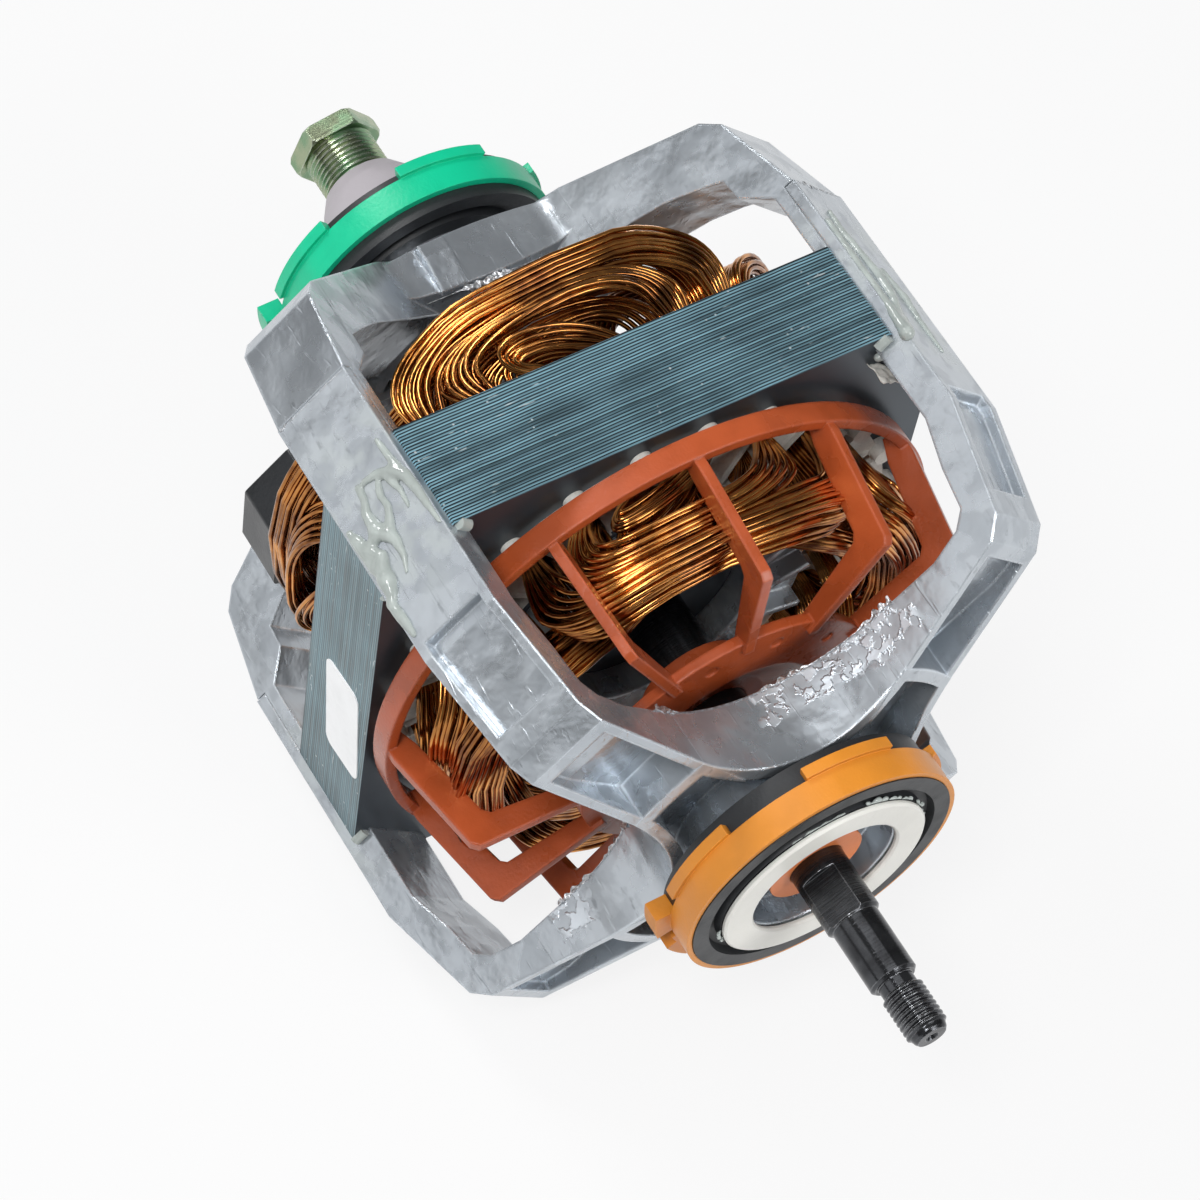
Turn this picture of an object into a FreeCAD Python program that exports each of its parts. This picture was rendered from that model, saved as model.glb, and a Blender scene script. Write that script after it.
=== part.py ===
import FreeCAD, Part

import math
import os

from FreeCAD import Vector

os.makedirs("parts", exist_ok=True)

# A belt-drive dryer motor, lying on its side as it is handled.
# X runs along the shaft towards the drive end, Z is up and the shaft lies on the X axis.
# Every x below is measured from the middle of the lamination stack. The origin of the saved
# pieces is the centre of the front cradle ring, where the motor is clamped.

# Running fits and joints between pieces
running_fit = 0.05
seat_gap = 0.3
moving_gap = 0.8
cut_reach = 200.0

# Lamination stack
stack_side = 135.2
stack_chamfer_leg = 15.2
stack_length = 25.4
bore_radius = 39.3
slot_count = 24
slot_width = 5.4
slot_inner_radius = 41.2
slot_outer_radius = 59.4
slot_mouth_width = 2.4

# Slot liners and end insulators
liner_wall = 0.35
liner_overhang = 1.0
insulator_thickness = 1.2
insulator_radius = 61.6
nub_radius = 2.5
nub_height = 2.6
insulator_lip = 0.6

# Windings
pole_count = 4
wire_radius = 0.95
wire_column_offset = 1.25
wire_clearance = 0.3
wire_layer_step = 2.5
main_wire_radius = 57.6
main_first_height = 7.0
main_height_step = 3.4
main_slot_steps = 3
main_extra_layers = 3
main_rear_flare = 5.0
main_front_flare = -2.2
start_wire_radius = 45.2
start_first_height = 13.0
start_height_step = 3.0
start_slot_steps = 2
start_extra_layers = 1
core_inner_radius = 47.6
core_outer_radius = 54.4
core_half_width = 28.6
core_height = 22.0
core_corner_radius = 19.5
core_leg_width = 3.4

# Shaft, from the rear end to the front end
shaft_rear_x = -126.0
shaft_pulley_radius = 5.5
shaft_journal_radius = 6.35
shaft_middle_radius = 8.0
shaft_middle_half = 55.0
shaft_shoulder_x = -103.0
flats_start_x = 89.8
flats_end_x = 101.0
flats_across = 9.6
drive_radius = 5.56
drive_end_x = 117.0
neck_radius = 4.1
thread_radius = 4.85
thread_root_radius = 4.25
thread_start_x = 119.6
thread_pitch = 1.27
thread_count = 8
shaft_tip_radius = 3.4
shaft_tip_x = 131.4
centre_hole_radius = 1.6
centre_hole_depth = 1.8

# Rotor core and its cast cage
rotor_air_gap = 0.5
rotor_overhang = 0.6
rotor_bar_count = 28
rotor_bar_radius = 2.1
rotor_bar_circle = 33.5
end_ring_inner_radius = 24.0
end_ring_outer_radius = 36.6
end_ring_length = 7.5
end_blade_count = 14
end_blade_height = 4.5
end_blade_thickness = 1.6

# Cage fan
fan_rib_count = 12
fan_rib_thickness = 2.4
fan_rib_depth = 6.0
fan_ring_outer_radius = 68.0
fan_ring_wall = 2.6
fan_ring_start_x = 15.8
fan_ring_width = 5.4
fan_bend_radius = 63.0
fan_bend_x = 50.0
fan_inner_radius = 33.0
fan_disc_radius = 36.0
fan_disc_inner_radius = 22.0
fan_disc_thickness = 2.5
fan_hub_radius = 12.0
fan_hub_start_x = 34.0
fan_hub_length = 10.0
fan_mark_circle = 31.0
fan_mark_radius = 1.5
fan_mark_depth = 0.4

# Corner arms shared by both end frames
arm_count = 4
arm_first_angle = 45.0
arm_width = 20.4
arm_rail = 2.3
arm_floor = 2.4
arm_cover = 2.75
arm_depth = 7.6
window_bottom_radius = 29.5
window_wall = 3.0
web_plate = 4.5
web_outer_radius = 46.0
pocket_inner_radius = 23.0
pocket_outer_radius = 43.0
boss_radius = 19.0
boss_length = 6.0
hub_radius = 19.5
bearing_setback = 4.0

# Front end frame
front_arm_end_x = -30.0
front_slope_x = 32.0
front_bend_x = 58.5
front_bend_radius = 80.6
front_leg_x = 62.6
front_leg_radius = 76.2
front_foot_x = 72.0
front_foot_radius = 40.0
front_wall_back_x = 57.4
front_web_back_x = 62.0
front_web_front_x = 75.0
front_hub_end_x = 88.0
front_pocket_start_x = 28.0
front_pocket_depth = 2.6
front_leg_pocket_floor = 4.6
front_knee_x = 43.0
front_knee_drop = 3.4
front_corner_steps = ((0.0, 13.0), (2.0, 5.0), (5.0, 1.4))

# Rear end frame
rear_bend_x = -52.0
rear_bend_radius = 81.8
rear_leg_x = -56.2
rear_leg_radius = 77.6
rear_knee_x = -36.0
rear_knee_drop = 5.0
rear_wall_lean = 4.2
rear_foot_x = -69.6
rear_foot_radius = 43.0
rear_web_back_x = -73.0
rear_web_front_x = -66.5
rear_wall_front_x = -57.0
rear_hub_end_x = -91.8
rear_floor_height = 34.0
rear_floor_corner = 7.0
rear_rib_offset = -9.5
rear_rib_width = 6.5
rear_rib_height = 3.0
rear_corner_steps = ((9.0, 17.0), (12.2, 9.3), (15.4, 3.0))
lap_thickness = 3.2

# Bearings
bearing_radius = 10.6
bearing_length = 15.0
bearing_land = 0.8
felt_radius = 15.0
felt_length = 4.5
cap_wall = 1.0
thrust_washer_radius = 10.2
thrust_washer_thickness = 1.2

# Cradle rings: steel sleeve, rubber ring and plastic cover
ring_rubber_radius = 31.75
ring_rubber_width = 12.2
ring_sleeve_wall = 1.5
ring_groove_depth = 2.0
ring_groove_width = 3.0
front_cover_wall = 1.3
rear_cover_wall = 1.7
cover_width = 6.8
cover_strip_height = 1.0
cover_strip_width = 2.6
cover_strip_count = 5
cover_strip_angle = 38.0
cover_hook_height = 3.6
cover_hook_overhang = 2.0
cover_hook_angle = 15.0
cover_hook_places = (-100.0, -128.0)
front_rubber_face_x = 88.3
front_cover_face_x = 88.0
rear_cover_face_x = -83.0
rear_rubber_face_x = -79.9
flange_radius = 24.9
flange_bore_radius = 17.7
flange_thickness = 1.2
slinger_radius = 11.3
slinger_thickness = 1.2
slinger_x = 84.6

# Rear hub sleeve and belt pulley
cone_base_radius = 18.6
cone_shoulder_radius = 12.0
cone_shoulder_x = -109.0
cone_tip_radius = 9.6
cone_tip_x = -112.6
cone_bore_radius = 8.2
pulley_radius = 8.5
pulley_groove_count = 8
pulley_groove_pitch = 1.3
pulley_groove_depth = 0.85
pulley_spigot_radius = 7.4
pulley_spigot_x = -104.0
hex_across_flats = 19.05
hex_thickness = 4.6
shaft_end_in_hex = 2.6
hex_start_x = shaft_rear_x + shaft_end_in_hex
pulley_end_clearance = 1.0
pulley_bore_overrun = 4.0

# Centrifugal governor
governor_base_x = -24.5
governor_base_thickness = 2.5
governor_base_radius = 19.0
governor_hub_radius = 11.0
governor_hub_length = 6.0
spool_length = 12.0
spool_flange_radius = 18.0
spool_flange_thickness = 2.0
spool_neck_radius = 12.5
spool_travel = 3.0
weight_pivot_radius = 16.5
weight_pivot_x = -30.5
weight_pin_radius = 1.2
weight_width = 12.0
weight_thickness = 3.6
weight_length = 7.6
ear_thickness = 1.6
ear_radius = 2.4

# Start switch beside the rear frame
switch_x = -56.5
switch_length = 15.0
switch_near_y = -45.0
switch_depth = 15.0
switch_top_z = 0.0
switch_height = 28.0
switch_wall = 1.6
switch_bevel = 10.0
switch_corner = 1.5
terminal_count = 4
terminal_width = 4.8
terminal_thickness = 0.8
terminal_length = 6.0
bracket_thickness = 2.0
bracket_width = 12.0
screw_radius = 1.9
screw_head_radius = 3.4
screw_head_height = 2.0
screw_length = 8.0
screw_slot_width = 1.0
screw_slot_depth = 0.7
screw_boss_radius = 4.5
lever_thickness = 2.4
lever_width = 6.0
lever_pivot_radius = 1.5
lever_foot_thickness = 2.0
lever_pivot_inset = 3.5
lever_barrel_wall = 1.5
lever_head_rim = 1.2
lever_head_thickness = 1.2
lever_foot_margin = 0.5
protector_radius = 5.0
protector_height = 4.0
lead_radius = 1.3
lead_inset = 3.5
lead_count = 3
lead_spacing = 4.2

# Label on the side of the stack and the bonds between arms and stack
label_width = 13.8
label_height = 31.0
label_thickness = 0.25
label_corner = 2.6
label_x = 2.8
label_z = -13.6
label_tilt = -5.8
bond_length = 26.0
bond_width = 14.0
bond_height = 1.1
bond_x = 6.0
bond_bead_radius = 1.5
bond_bead_length = 3.4

# Places worked out from the sizes above
origin = Vector(0, 0, 0)
axis = Vector(1, 0, 0)
half_stack = stack_length / 2
chamfer_radius = (stack_side - stack_chamfer_leg) / math.sqrt(2)
wire_exit = insulator_thickness + liner_overhang + wire_clearance
rotor_radius = bore_radius - rotor_air_gap
rotor_half = half_stack + rotor_overhang
arm_radius = chamfer_radius + arm_cover
arm_inner_radius = arm_radius - arm_depth
window_centre_radius = (window_bottom_radius - arm_width / 2) / (1 - math.sqrt(0.5))
window_radius = window_centre_radius - window_bottom_radius
wall_inner_radius = window_bottom_radius - window_wall
sleeve_bore_radius = hub_radius + running_fit
sleeve_radius = sleeve_bore_radius + ring_sleeve_wall
rubber_bore_radius = sleeve_radius + running_fit
cover_bore_radius = ring_rubber_radius + running_fit
front_ring_x = front_rubber_face_x - ring_rubber_width / 2
rear_ring_x = rear_rubber_face_x - ring_rubber_width / 2
flange_front_x = front_rubber_face_x + seat_gap + flange_thickness
spool_bore_radius = shaft_middle_radius + running_fit
governor_hub_end_x = governor_base_x - governor_base_thickness - governor_hub_length
spool_start_x = governor_hub_end_x - moving_gap - spool_travel - spool_length
screw_y = screw_boss_radius - window_bottom_radius
switch_far_y = switch_near_y - switch_depth
switch_low_z = switch_top_z - switch_height
switch_end_x = switch_x + switch_length
lever_x = spool_start_x + spool_flange_thickness + moving_gap
lever_tip_y = -spool_neck_radius - moving_gap
lever_pivot_x = lever_x + lever_thickness / 2
lever_pivot_y = switch_near_y - lever_pivot_inset
lever_low_z = switch_top_z + lever_foot_thickness + seat_gap
lever_high_z = lever_low_z + lever_width


def turned(points):
    """Solid of revolution about the shaft axis, from (x, radius) points."""
    corners = [Vector(x, 0, radius) for x, radius in points]
    face = Part.Face(Part.makePolygon(corners + corners[:1]))
    return face.revolve(origin, axis, 360)


def tube(outer_radius, inner_radius, start_x, end_x):
    """Straight tube on the shaft axis."""
    return turned([
        (start_x, inner_radius),
        (end_x, inner_radius),
        (end_x, outer_radius),
        (start_x, outer_radius),
    ])


def rod(radius, start_x, end_x, y=0.0, z=0.0):
    """Round bar along X through (y, z)."""
    return Part.makeCylinder(radius, end_x - start_x, Vector(start_x, y, z), axis)


def block(low, high):
    """Box between two opposite corners."""
    size = [b - a for a, b in zip(low, high)]
    return Part.makeBox(*size, Vector(*low))


def plate(points, width):
    """Polygon in the X-Z plane, made width thick across Y and centred there."""
    corners = [Vector(x, -width / 2, z) for x, z in points]
    face = Part.Face(Part.makePolygon(corners + corners[:1]))
    return face.extrude(Vector(0, width, 0))


def turned_to(shape, angle):
    """Copy of a shape swung about the shaft, from +Z towards +Y by an angle in degrees."""
    copy = shape.copy()
    copy.rotate(origin, axis, -angle)
    return copy


def around(shape, count, first_angle=0.0):
    """Equal copies of a shape spread round the shaft."""
    return [turned_to(shape, first_angle + 360.0 * i / count) for i in range(count)]


def joined(shapes):
    """One solid from overlapping shapes."""
    return shapes[0].fuse(shapes[1:]).removeSplitter()


def sector(outer_radius, inner_radius, start_x, end_x, middle_angle, spread):
    """Part of a tube that spans spread degrees about middle_angle."""
    face = Part.Face(Part.makePolygon([
        Vector(start_x, 0, inner_radius),
        Vector(end_x, 0, inner_radius),
        Vector(end_x, 0, outer_radius),
        Vector(start_x, 0, outer_radius),
        Vector(start_x, 0, inner_radius),
    ]))
    return turned_to(face.revolve(origin, axis, spread), middle_angle + spread / 2)


def save(name, shapes):
    """Write one node, moved so that the front cradle ring's centre is the origin."""
    solid = shapes[0] if len(shapes) == 1 else Part.makeCompound(shapes)
    moved = solid.copy()
    moved.translate(Vector(-front_ring_x, 0, 0))
    moved.exportStep("parts/" + name + ".step")


# Stack, liners and insulators

def octagon(side, chamfer_leg, length):
    """Square block across the shaft with its four long corners cut off."""
    half = side / 2
    low = half - chamfer_leg
    corners = [(half, low), (low, half), (-low, half), (-half, low),
               (-half, -low), (-low, -half), (low, -half), (half, -low)]
    points = [Vector(-length / 2, y, z) for y, z in corners]
    return Part.Face(Part.makePolygon(points + points[:1])).extrude(Vector(length, 0, 0))


def slot_angles():
    """Middle angle of each stator slot."""
    pitch = 360.0 / slot_count
    return [pitch * (i + 0.5) for i in range(slot_count)]


def slot_block(start_x, end_x, inset=0.0):
    """The room of one slot, standing at the top of the stack."""
    half = slot_width / 2 - inset
    return block(
        (start_x, -half, slot_inner_radius + inset),
        (end_x, half, slot_outer_radius - inset),
    )


def stator_core():
    """Lamination stack with its bore, slots and slot mouths."""
    core = octagon(stack_side, stack_chamfer_leg, stack_length)
    mouth = block(
        (-stack_length, -slot_mouth_width / 2, bore_radius - 1),
        (stack_length, slot_mouth_width / 2, slot_inner_radius + 1),
    )
    opening = slot_block(-stack_length, stack_length).fuse(mouth)
    cuts = [turned_to(opening, angle) for angle in slot_angles()]
    return core.cut([rod(bore_radius, -stack_length, stack_length)] + cuts)


def slot_liners():
    """Thin lining in every slot, a little longer than the stack."""
    end = half_stack + insulator_thickness + liner_overhang
    liner = slot_block(-end, end, seat_gap / 10).cut(slot_block(-2 * end, 2 * end, liner_wall))
    return [turned_to(liner, angle) for angle in slot_angles()]


def slot_openings():
    """Blocks that clear every slot beyond both ends of the stack."""
    return [turned_to(slot_block(-2 * stack_length, 2 * stack_length), angle) for angle in slot_angles()]


def end_insulator(side):
    """White ring on one face of the stack."""
    inner_x = side * half_stack
    outer_x = side * (half_stack + insulator_thickness)
    inside = slot_inner_radius - insulator_lip
    ring = tube(insulator_radius, inside, min(inner_x, outer_x), max(inner_x, outer_x))
    return ring.cut(slot_openings())


def nubbed_insulator():
    """Front ring with round nubs between the slots."""
    top_x = half_stack + insulator_thickness + nub_height
    nub = rod(nub_radius, half_stack, top_x, 0, insulator_radius)
    nubs = around(nub, slot_count, 180.0 / slot_count)
    return joined([end_insulator(1)] + nubs).cut(slot_openings())


# Windings

def arc_or_line(start, tangent, end):
    """Arc that leaves start along tangent and reaches end, or a line where it is straight."""
    chord = end - start
    along = Vector(chord).normalize()
    across = tangent - along * tangent.dot(along)
    if across.Length < 1e-7:
        return Part.LineSegment(start, end).toShape()
    half_turn = math.atan2(across.Length, tangent.dot(along))
    rise = chord.Length / 2 * math.tan(half_turn / 2)
    middle = start + chord * 0.5 + across.normalize() * rise
    return Part.Arc(start, middle, end).toShape()


def biarc(start, start_tangent, end, end_tangent):
    """Two arcs that meet smoothly and join two points along their tangents."""
    chord = end - start
    total = start_tangent + end_tangent
    spread = 2 * (1 - start_tangent.dot(end_tangent))
    reach = chord.dot(total)
    if spread < 1e-9:
        return [arc_or_line(start, start_tangent, end)]
    length = (math.sqrt(reach * reach + spread * chord.dot(chord)) - reach) / spread
    first_corner = start + start_tangent * length
    last_corner = end - end_tangent * length
    middle = (first_corner + last_corner) * 0.5
    middle_tangent = (last_corner - first_corner).normalize()
    return [arc_or_line(start, start_tangent, middle), arc_or_line(middle, middle_tangent, end)]


def on_cylinder(x, radius, angle):
    """Point at a radius and an angle in degrees from the top."""
    turn = math.radians(angle)
    return Vector(x, radius * math.sin(turn), radius * math.cos(turn))


def round_tangent(angle, sense):
    """Unit vector round the shaft at an angle, towards +Y at the top when sense is 1."""
    turn = math.radians(angle)
    return Vector(0, sense * math.cos(turn), -sense * math.sin(turn))


def end_turn(side, radius, from_angle, to_angle, next_radius, height, flare):
    """Edges of one end turn: out of the slot, round the shaft on a wider radius and back."""
    sense = 1 if to_angle > from_angle else -1
    base_x = side * (half_stack + wire_exit)
    top_x = side * (half_stack + height)
    corner = math.degrees((height - wire_exit) / radius)
    first = from_angle + sense * corner
    last = to_angle - sense * corner
    outward = Vector(side, 0, 0)
    rise_start = on_cylinder(base_x, radius, from_angle)
    round_start = on_cylinder(top_x, radius + flare, first)
    round_end = on_cylinder(top_x, next_radius + flare, last)
    fall_end = on_cylinder(base_x, next_radius, to_angle)
    start_way = round_tangent(first, sense)
    end_way = round_tangent(last, sense)
    return (
        biarc(rise_start, outward, round_start, start_way)
        + biarc(round_start, start_way, round_end, end_way)
        + biarc(round_end, end_way, fall_end, outward * -1)
    )


def wire_loops(radius, first_slot, slot_steps, first_height, height_step, extra_layers):
    """Loops of one coil as (radius, angle, front height), from the innermost loop outwards."""
    pitch = 360.0 / slot_count
    column = math.degrees(wire_column_offset / radius)
    loops = []
    for i in range(slot_steps):
        slot = first_slot + pitch * i
        for offset in (-column, column):
            height = first_height + height_step * len(loops)
            loops.append((radius, slot + offset, height))
    outer_height = loops[-1][2]
    slot = first_slot + pitch * (slot_steps - 1)
    for layer in range(1, extra_layers + 1):
        lower = radius - wire_layer_step * layer
        loops.append((lower, slot + math.degrees(wire_column_offset / lower), outer_height))
    return loops


def coil_edges(loops, height_step, front_flare, rear_flare):
    """Path of one unbroken coil: out through each slot, round, back, and on to the next loop."""
    edges = []
    tallest = loops[-1][2]
    exit_x = half_stack + wire_exit
    for i, (radius, angle, height) in enumerate(loops):
        edges.append(Part.LineSegment(
            on_cylinder(-exit_x, radius, -angle), on_cylinder(exit_x, radius, -angle)).toShape())
        share = height / tallest
        edges += end_turn(1, radius, -angle, angle, radius, height, front_flare * share)
        edges.append(Part.LineSegment(
            on_cylinder(exit_x, radius, angle), on_cylinder(-exit_x, radius, angle)).toShape())
        if i + 1 < len(loops):
            next_radius, next_angle, _ = loops[i + 1]
            rear_height = height + height_step / 2
            edges += end_turn(-1, radius, angle, -next_angle, next_radius, rear_height, rear_flare * share)
    return edges


def wound_tube(edges, radius):
    """Round tube along a smooth path."""
    path = Part.Wire(edges)
    start = edges[0].Vertexes[0].Point
    way = Vector(edges[0].Vertexes[1].Point - start).normalize()
    ring = Part.Wire(Part.makeCircle(radius, start, way))
    return path.makePipeShell([ring], True, False)


def least_gap(edges, radius):
    """Smallest clear distance between stretches of a tube that are not neighbours."""
    step = radius
    points = []
    for edge in edges:
        points += edge.discretize(max(2, int(edge.Length / step)))[:-1]
    runs = [0.0]
    for before, after in zip(points, points[1:]):
        runs.append(runs[-1] + (after - before).Length)
    nearest = []
    for i, point in enumerate(points):
        others = [(point - points[j]).Length for j in range(i + 1, len(points)) if runs[j] - runs[i] > 10 * radius]
        if others:
            nearest.append(min(others))
    return min(nearest) - 2 * radius


def coil_core():
    """Plain middle of a main coil: both end bundles and the two legs that join them."""
    reach = half_stack + core_height
    outline = block((-reach, -core_half_width, 0), (reach, core_half_width, 2 * core_outer_radius))
    corners = [edge for edge in outline.Edges
               if abs(edge.Vertexes[0].Point.x - edge.Vertexes[1].Point.x) < 1e-6
               and abs(edge.Vertexes[0].Point.y - edge.Vertexes[1].Point.y) < 1e-6]
    rounded = outline.makeFillet(core_corner_radius, corners)
    shell = tube(core_outer_radius, core_inner_radius, -reach, reach)
    clear = half_stack + wire_exit
    middle = block((-clear, -cut_reach, -cut_reach), (clear, cut_reach, cut_reach))
    bundles = rounded.common(shell).cut(middle)
    leg = block(
        (-half_stack - 4, -core_leg_width / 2, core_inner_radius + 0.8),
        (half_stack + 4, core_leg_width / 2, core_outer_radius - 0.8),
    )
    leg_angle = 360.0 / slot_count * 1.5
    return joined(bundles.Solids + [turned_to(leg, leg_angle), turned_to(leg, -leg_angle)])


def windings():
    """Save the four main and four start coils."""
    half_pitch = 180.0 / slot_count
    main_loops = wire_loops(main_wire_radius, half_pitch, main_slot_steps, main_first_height,
                            main_height_step, main_extra_layers)
    start_loops = wire_loops(start_wire_radius, 3 * half_pitch, start_slot_steps, start_first_height,
                             start_height_step, start_extra_layers)
    main_edges = coil_edges(main_loops, main_height_step, main_front_flare, main_rear_flare)
    start_edges = coil_edges(start_loops, start_height_step, 0, 0)
    print("main coil least gap %.2f mm" % least_gap(main_edges, wire_radius))
    print("start coil least gap %.2f mm" % least_gap(start_edges, wire_radius))
    main_wire = wound_tube(main_edges, wire_radius)
    start_wire = wound_tube(start_edges, wire_radius)
    core = coil_core()
    pole_pitch = 360.0 / pole_count
    for i in range(pole_count):
        angle = pole_pitch * i
        save("main_core_%d" % (i + 1), [turned_to(core, angle)])
        save("main_coil_%d" % (i + 1), [turned_to(main_wire, angle)])
        save("start_coil_%d" % (i + 1), [turned_to(start_wire, angle + pole_pitch / 2)])


# Rotor

def shaft():
    """Stepped shaft with a pulley seat, journals, wrench flats, neck and thread."""
    half = shaft_middle_half
    points = [
        (shaft_rear_x, 0), (shaft_rear_x, shaft_pulley_radius - 0.5),
        (shaft_rear_x + 0.5, shaft_pulley_radius),
        (shaft_shoulder_x, shaft_pulley_radius), (shaft_shoulder_x, shaft_journal_radius),
        (-half, shaft_journal_radius), (-half, shaft_middle_radius),
        (half, shaft_middle_radius), (half, shaft_journal_radius),
        (flats_end_x - 0.4, shaft_journal_radius), (flats_end_x + 0.4, drive_radius),
        (drive_end_x - 0.7, drive_radius), (drive_end_x, drive_radius - 0.7),
        (drive_end_x, neck_radius), (thread_start_x, neck_radius),
    ]
    for i in range(thread_count):
        crest_x = thread_start_x + thread_pitch * (i + 0.5)
        points.append((crest_x - thread_pitch * 0.1, thread_radius))
        points.append((crest_x + thread_pitch * 0.1, thread_radius))
        points.append((thread_start_x + thread_pitch * (i + 1), thread_root_radius))
    points += [(shaft_tip_x - 0.6, shaft_tip_radius + 0.5), (shaft_tip_x, shaft_tip_radius)]
    points += [(shaft_tip_x, centre_hole_radius), (shaft_tip_x - centre_hole_depth, 0)]
    flat = block((flats_start_x, -20, flats_across / 2), (flats_end_x, 20, 20))
    flats = [turned_to(flat, angle) for angle in (-35, 145)]
    return turned(points).cut(flats)


def rotor_core():
    """Rotor laminations with their bar holes."""
    body = tube(rotor_radius, shaft_middle_radius + running_fit, -rotor_half, rotor_half)
    hole = rod(rotor_bar_radius + running_fit, -2 * rotor_half, 2 * rotor_half, 0, rotor_bar_circle)
    return body.cut(around(hole, rotor_bar_count))


def rotor_cage():
    """Cast bars, end rings and small end blades."""
    pieces = []
    bar = rod(rotor_bar_radius, -rotor_half - 1, rotor_half + 1, 0, rotor_bar_circle)
    pieces += around(bar, rotor_bar_count)
    for side in (-1, 1):
        near = side * (rotor_half + running_fit)
        far = side * (rotor_half + end_ring_length)
        tip = far + side * end_blade_height
        pieces.append(tube(end_ring_outer_radius, end_ring_inner_radius, min(near, far), max(near, far)))
        if side > 0:
            blade = block(
                (min(near, tip), -end_blade_thickness / 2, end_ring_inner_radius + 2),
                (max(near, tip), end_blade_thickness / 2, end_ring_outer_radius - 1),
            )
            pieces += around(blade, end_blade_count)
    return joined(pieces)


def cooling_fan():
    """Cage fan: outer ring, bent radial ribs and a dished disc on the shaft."""
    ring_end_x = fan_ring_start_x + fan_ring_width
    ring = tube(fan_ring_outer_radius, fan_ring_outer_radius - fan_ring_wall,
                fan_ring_start_x, ring_end_x)
    depth = fan_rib_depth
    rib_top = fan_ring_outer_radius - 0.5
    rib = plate([
        (fan_ring_start_x + 1.2, rib_top), (ring_end_x + 2, rib_top),
        (fan_bend_x - 1.5, fan_bend_radius), (fan_bend_x, fan_bend_radius - 1.5),
        (fan_bend_x, fan_inner_radius), (fan_bend_x - 0.7 * depth, fan_inner_radius),
        (fan_bend_x - depth, fan_bend_radius - depth - 1.5),
        (fan_bend_x - depth - 1.5, fan_bend_radius - depth),
        (ring_end_x + 1.0, rib_top - depth), (fan_ring_start_x + 1.2, rib_top - depth + 2.0),
    ], fan_rib_thickness)
    disc_x = fan_bend_x - 1.0
    back_x = disc_x - fan_disc_thickness
    hub_end_x = fan_hub_start_x + fan_hub_length
    bore = shaft_middle_radius + running_fit
    disc = turned([
        (disc_x, fan_disc_radius), (disc_x, fan_disc_inner_radius),
        (hub_end_x, fan_hub_radius), (hub_end_x, bore), (fan_hub_start_x, bore),
        (fan_hub_start_x, fan_hub_radius), (hub_end_x - fan_disc_thickness, fan_hub_radius),
        (back_x, fan_disc_inner_radius), (back_x, fan_disc_radius),
    ])
    fan = joined([ring, disc] + around(rib, fan_rib_count))
    mark = rod(fan_mark_radius, disc_x - fan_mark_depth, disc_x + 5, 0, fan_mark_circle)
    half_pitch = 180.0 / fan_rib_count
    return fan.cut(around(mark, fan_rib_count, half_pitch))


def belt_pulley():
    """Small grooved belt pulley with a hexagon flange at its end."""
    hex_end_x = hex_start_x - hex_thickness
    bore = shaft_pulley_radius + running_fit
    bore_end_x = shaft_rear_x - pulley_end_clearance
    points = [
        (bore_end_x, 0), (bore_end_x, bore), (pulley_spigot_x, bore),
        (pulley_spigot_x, pulley_spigot_radius), (cone_tip_x - moving_gap, pulley_spigot_radius),
        (cone_tip_x - moving_gap, pulley_radius),
    ]
    groove_x = hex_start_x + pulley_groove_count * pulley_groove_pitch
    for i in range(pulley_groove_count):
        top_x = groove_x - pulley_groove_pitch * i
        points.append((top_x, pulley_radius))
        points.append((top_x - pulley_groove_pitch / 2, pulley_radius - pulley_groove_depth))
    points += [(hex_start_x, pulley_radius), (hex_end_x, pulley_radius), (hex_end_x, 0)]
    corner_radius = hex_across_flats / math.sqrt(3)
    corners = [on_cylinder(hex_end_x, corner_radius, 60 * i + 18) for i in range(7)]
    hexagon = Part.Face(Part.makePolygon(corners)).extrude(Vector(hex_thickness, 0, 0))
    bevel = turned([
        (hex_start_x, 0), (hex_start_x, corner_radius - 0.6), (hex_start_x - 0.9, corner_radius + 0.1),
        (hex_end_x + 0.9, corner_radius + 0.1), (hex_end_x, corner_radius - 0.6), (hex_end_x, 0),
    ])
    return joined([turned(points), hexagon.common(bevel)]).cut(
        rod(bore, bore_end_x, pulley_spigot_x + pulley_bore_overrun))


# End frames

def frame_arm(outer, inner, pockets):
    """One corner arm as a channel: its outline less the pockets between its side rails."""
    arm = plate(outer + inner, arm_width)
    for pocket in pockets:
        arm = arm.cut(plate(pocket, arm_width - 2 * arm_rail))
    return arm


def round_windows(start_x, end_x, grow=0.0):
    """Round-bottomed windows between the arms, grown all round by a margin."""
    cut = rod(window_radius + grow, start_x, end_x, 0, window_centre_radius)
    return around(cut, arm_count)


def flat_windows(start_x, end_x, grow=0.0):
    """Flat-bottomed windows between the arms, grown all round by a margin."""
    floor = rear_floor_height - grow
    flank = arm_width / math.sqrt(2) - grow * math.sqrt(2)
    low = floor - flank
    corners = [Vector(start_x, y, z) for y, z in (
        (-low, floor), (low, floor), (cut_reach - flank, cut_reach), (flank - cut_reach, cut_reach))]
    cut = Part.Face(Part.makePolygon(corners + corners[:1])).extrude(Vector(end_x - start_x, 0, 0))
    edges = [edge for edge in cut.Edges
             if all(abs(corner.Point.z - floor) < 1e-6 for corner in edge.Vertexes)
             and abs(edge.Vertexes[0].Point.y - edge.Vertexes[1].Point.y) < 1e-6]
    return around(cut.makeFillet(rear_floor_corner, edges), arm_count)


def hub_pocket(start_x, end_x, windows):
    """Hollow round the hub that leaves a wall along every window."""
    ring = tube(pocket_outer_radius, pocket_inner_radius, start_x, end_x)
    return ring.cut(windows(start_x, end_x, window_wall))


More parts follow.
